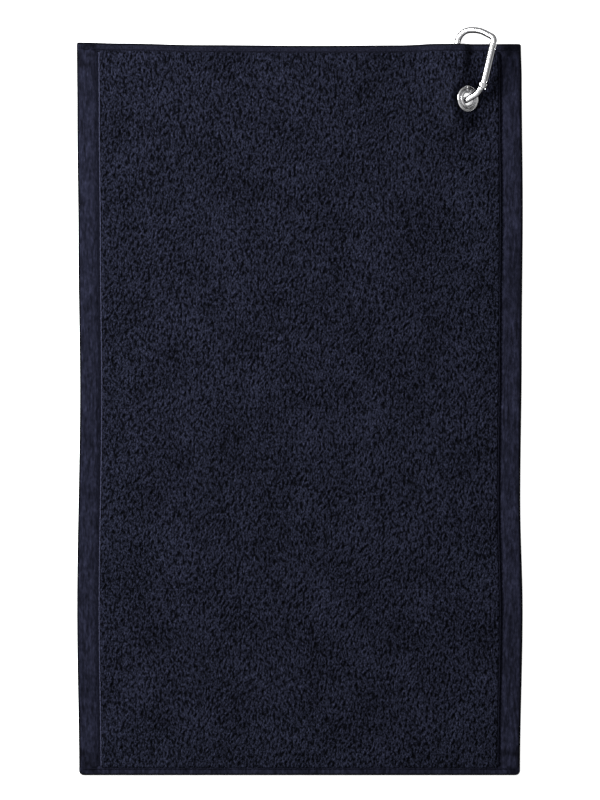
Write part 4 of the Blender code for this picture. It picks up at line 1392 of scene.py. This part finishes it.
    def _rivet(self) -> bpy.types.Object:
        """The rivet, domed at both ends."""
        reach = self.gate_radius + self.pin_clearance
        head, dome = self.rivet_head, self.rivet_dome
        half = [(self.pole, reach + dome)]
        half += [(head * math.sin(a), reach + dome * math.cos(a))
                 for a in map(math.radians, range(15, 90, 15))]
        half += [(head, reach), (self.rivet_radius, reach)]
        return turned_object("clip_gate_rivet", self._doubled(half), self.rivet_sides, self.frame.gate_place)

    def _pin(self) -> bpy.types.Object:
        """The pin across the gate's tip, with its ends eased."""
        reach, ease = self.gate_radius - self.neck, self.pin_ease
        half = [(self.pole, reach), (self.pin_radius - ease, reach), (self.pin_radius, reach - ease)]
        place = self.frame.gate_place @ Matrix.Translation(
            (self.pivot_offset, self.gate_length - self.pin_from_tip, 0.0))
        return turned_object("clip_latch_pin", self._doubled(half), self.pin_sides, place)

    @staticmethod
    def _doubled(half: list[tuple[float, float]]) -> list[tuple[float, float]]:
        """A closed profile from its upper half, with the same half mirrored below."""
        return [(radius, -height) for radius, height in half] + half[::-1]

    def _box_cutter(self, low: Sequence[float], high: Sequence[float],
                    placed: bool = True) -> bpy.types.Object:
        """A box in the gate's frame, to be carved out."""
        corners = [(x, y, z) for x in (low[0], high[0]) for y in (low[1], high[1]) for z in (low[2], high[2])]
        faces = [(0, 1, 3, 2), (4, 6, 7, 5), (0, 4, 5, 1), (2, 3, 7, 6), (0, 2, 6, 4), (1, 5, 7, 3)]
        made = mesh_object("box_cutter", np.array(corners), faces, smooth=False)
        if placed:
            made.data.transform(self.frame.gate_place)
        return made

    def _rod_cutter(self, radius: float, at: tuple[float, float]) -> bpy.types.Object:
        """A rod along the rivet's axis, to be carved out."""
        reach = 2 * self.gate_radius
        rings = [[(at[0] + radius * cosine, at[1] + radius * sine, z)
                  for cosine, sine in circle(self.cutter_sides)] for z in (-reach, reach)]
        made = mesh_object("rod_cutter", np.array(rings), tube_faces(2, self.cutter_sides), smooth=False)
        made.data.transform(self.frame.gate_place)
        return made

    def _shade(self, piece: bpy.types.Object) -> None:
        """Smooth shading with crisp cut edges."""
        piece.data.shade_smooth()
        piece.data.set_sharp_from_angle(angle=self.crisp)


# --- studio -----------------------------------------------------------------------------------------
@dataclass
class Studio:
    """A pale floor, soft light from the upper left and a camera straight above."""

    centre: Vector
    height: float
    frame_margin: float = 1.0700
    lens: float = 300.0
    sensor: float = 36.0
    key_power: float = 42.0
    sky_strength: float = 0.85
    floor_glow: float = 0.8
    floor_half: float = 3.0
    floor_drop: float = 0.02 * MM
    key_offset: tuple[float, float, float] = (-0.9, 0.5, 0.85)
    key_size: float = 0.7
    aim: tuple[float, float] = (0.3 * MM, 0.9 * MM)
    seen: tuple[float, float] = (0.05, 20.0)

    def build(self) -> None:
        """Builds the floor, the world, the lights and the camera."""
        self._floor()
        self._world()
        self._lights()
        self._camera()
        view = bpy.context.scene.view_settings
        view.view_transform = "Standard"
        view.look = "None"

    def _floor(self) -> None:
        """A broad white sweep under the towel."""
        half = self.floor_half
        corners = [(-half, -half, 0.0), (half, -half, 0.0), (half, half, 0.0), (-half, half, 0.0)]
        floor = mesh_object("studio_floor", np.array(corners), [(0, 1, 2, 3)], smooth=False)
        floor.location.z = -self.floor_drop
        paint = bpy.data.materials.new("white_floor")
        paint.use_nodes = True
        shader = paint.node_tree.nodes["Principled BSDF"]
        shader.inputs["Roughness"].default_value = 0.9
        shader.inputs["Specular IOR Level"].default_value = 0.1
        shader.inputs["Emission Color"].default_value = (1.0, 1.0, 1.0, 1.0)
        shader.inputs["Emission Strength"].default_value = self.floor_glow
        noise = add_node(paint.node_tree, "ShaderNodeTexNoise", {"Scale": 3.0, "Detail": 2.0})
        tone = add_node(paint.node_tree, "ShaderNodeMix", data_type="RGBA")
        tone.inputs["A"].default_value = (0.75, 0.75, 0.75, 1.0)
        tone.inputs["B"].default_value = (0.8, 0.8, 0.8, 1.0)
        wire(paint.node_tree, (noise, "Fac", tone, "Factor"), (tone, "Result", shader, "Base Color"))
        floor.data.materials.append(paint)
        floor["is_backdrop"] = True

    def _world(self) -> None:
        """Soft light all round, brighter from the left."""
        world = bpy.data.worlds.new("studio_sky")
        bpy.context.scene.world = world
        world.use_nodes = True
        tree = world.node_tree
        back = tree.nodes["Background"]
        back.inputs["Strength"].default_value = self.sky_strength
        place = add_node(tree, "ShaderNodeTexCoord")
        parts = add_node(tree, "ShaderNodeSeparateXYZ")
        side = add_node(tree, "ShaderNodeMapRange", {"From Min": -0.3, "From Max": 0.7,
                                                     "To Min": 1.0, "To Max": 0.35})
        rise = add_node(tree, "ShaderNodeMapRange", {"From Min": 0.05, "From Max": 0.7,
                                                     "To Min": 0.12, "To Max": 1.0})
        both = add_node(tree, "ShaderNodeMath", operation="MULTIPLY")
        tone = add_node(tree, "ShaderNodeMix", data_type="RGBA")
        tone.inputs["A"].default_value = (0.0, 0.0, 0.0, 1.0)
        tone.inputs["B"].default_value = (1.0, 1.0, 1.01, 1.0)
        wire(tree, (place, "Generated", parts, 0), (parts, "X", side, "Value"), (parts, "Z", rise, "Value"),
             (side, "Result", both, 0), (rise, "Result", both, 1), (both, 0, tone, "Factor"),
             (tone, "Result", back, "Color"))

    def _lights(self) -> None:
        """A large soft key from the upper left."""
        data = bpy.data.lights.new("key_softbox", "AREA")
        data.shape = "RECTANGLE"
        data.size = data.size_y = self.key_size
        data.energy = self.key_power
        key = bpy.data.objects.new("key_softbox", data)
        bpy.context.scene.collection.objects.link(key)
        key.location = self.centre + Vector(self.key_offset)
        key.rotation_mode = "QUATERNION"
        key.rotation_quaternion = (self.centre - key.location).to_track_quat("-Z", "Y")

    def _camera(self) -> None:
        """A long lens straight above the middle of the towel and clip."""
        data = bpy.data.cameras.new("overhead_camera")
        data.lens = self.lens
        data.sensor_width = self.sensor
        camera = bpy.data.objects.new("overhead_camera", data)
        bpy.context.scene.collection.objects.link(camera)
        distance = self.height * self.frame_margin * self.lens / self.sensor
        camera.location = (self.centre.x + self.aim[0], self.centre.y + self.aim[1], distance)
        data.clip_start, data.clip_end = self.seen
        bpy.context.scene.camera = camera


def main() -> None:
    """Builds the towel, the eyelet, the clip and the studio."""
    logging.basicConfig(level=logging.INFO, format="%(name)s: %(message)s")
    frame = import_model()
    cad_low, cad_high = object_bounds()
    joints = {joint["name"]: joint for joint in frame["joints"]}
    eyelet_centre = Vector(joints["clip_swing"]["pos_m"])
    clip = ClipFrame(eyelet_centre, Vector(joints["gate_hinge"]["pos_m"]),
                     Vector(joints["gate_hinge"]["axis"]).normalized(),
                     Vector(joints["plunger_slide"]["axis"]).normalized())
    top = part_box("top_hem")[1]
    lie = ClothLie(eyelet_centre, top.x, top.y)
    wardrobe = Wardrobe()
    Towel(lie).build(wardrobe)
    Eyelet(Matrix.Translation(eyelet_centre) @ Matrix.Rotation(lie.eyelet_tilt, 4, "Y")).build(wardrobe)
    SpringClip(clip).build(wardrobe, frame)
    Studio((cad_low + cad_high) / 2, cad_high.y - cad_low.y).build()


if __name__ == "__main__":
    main()
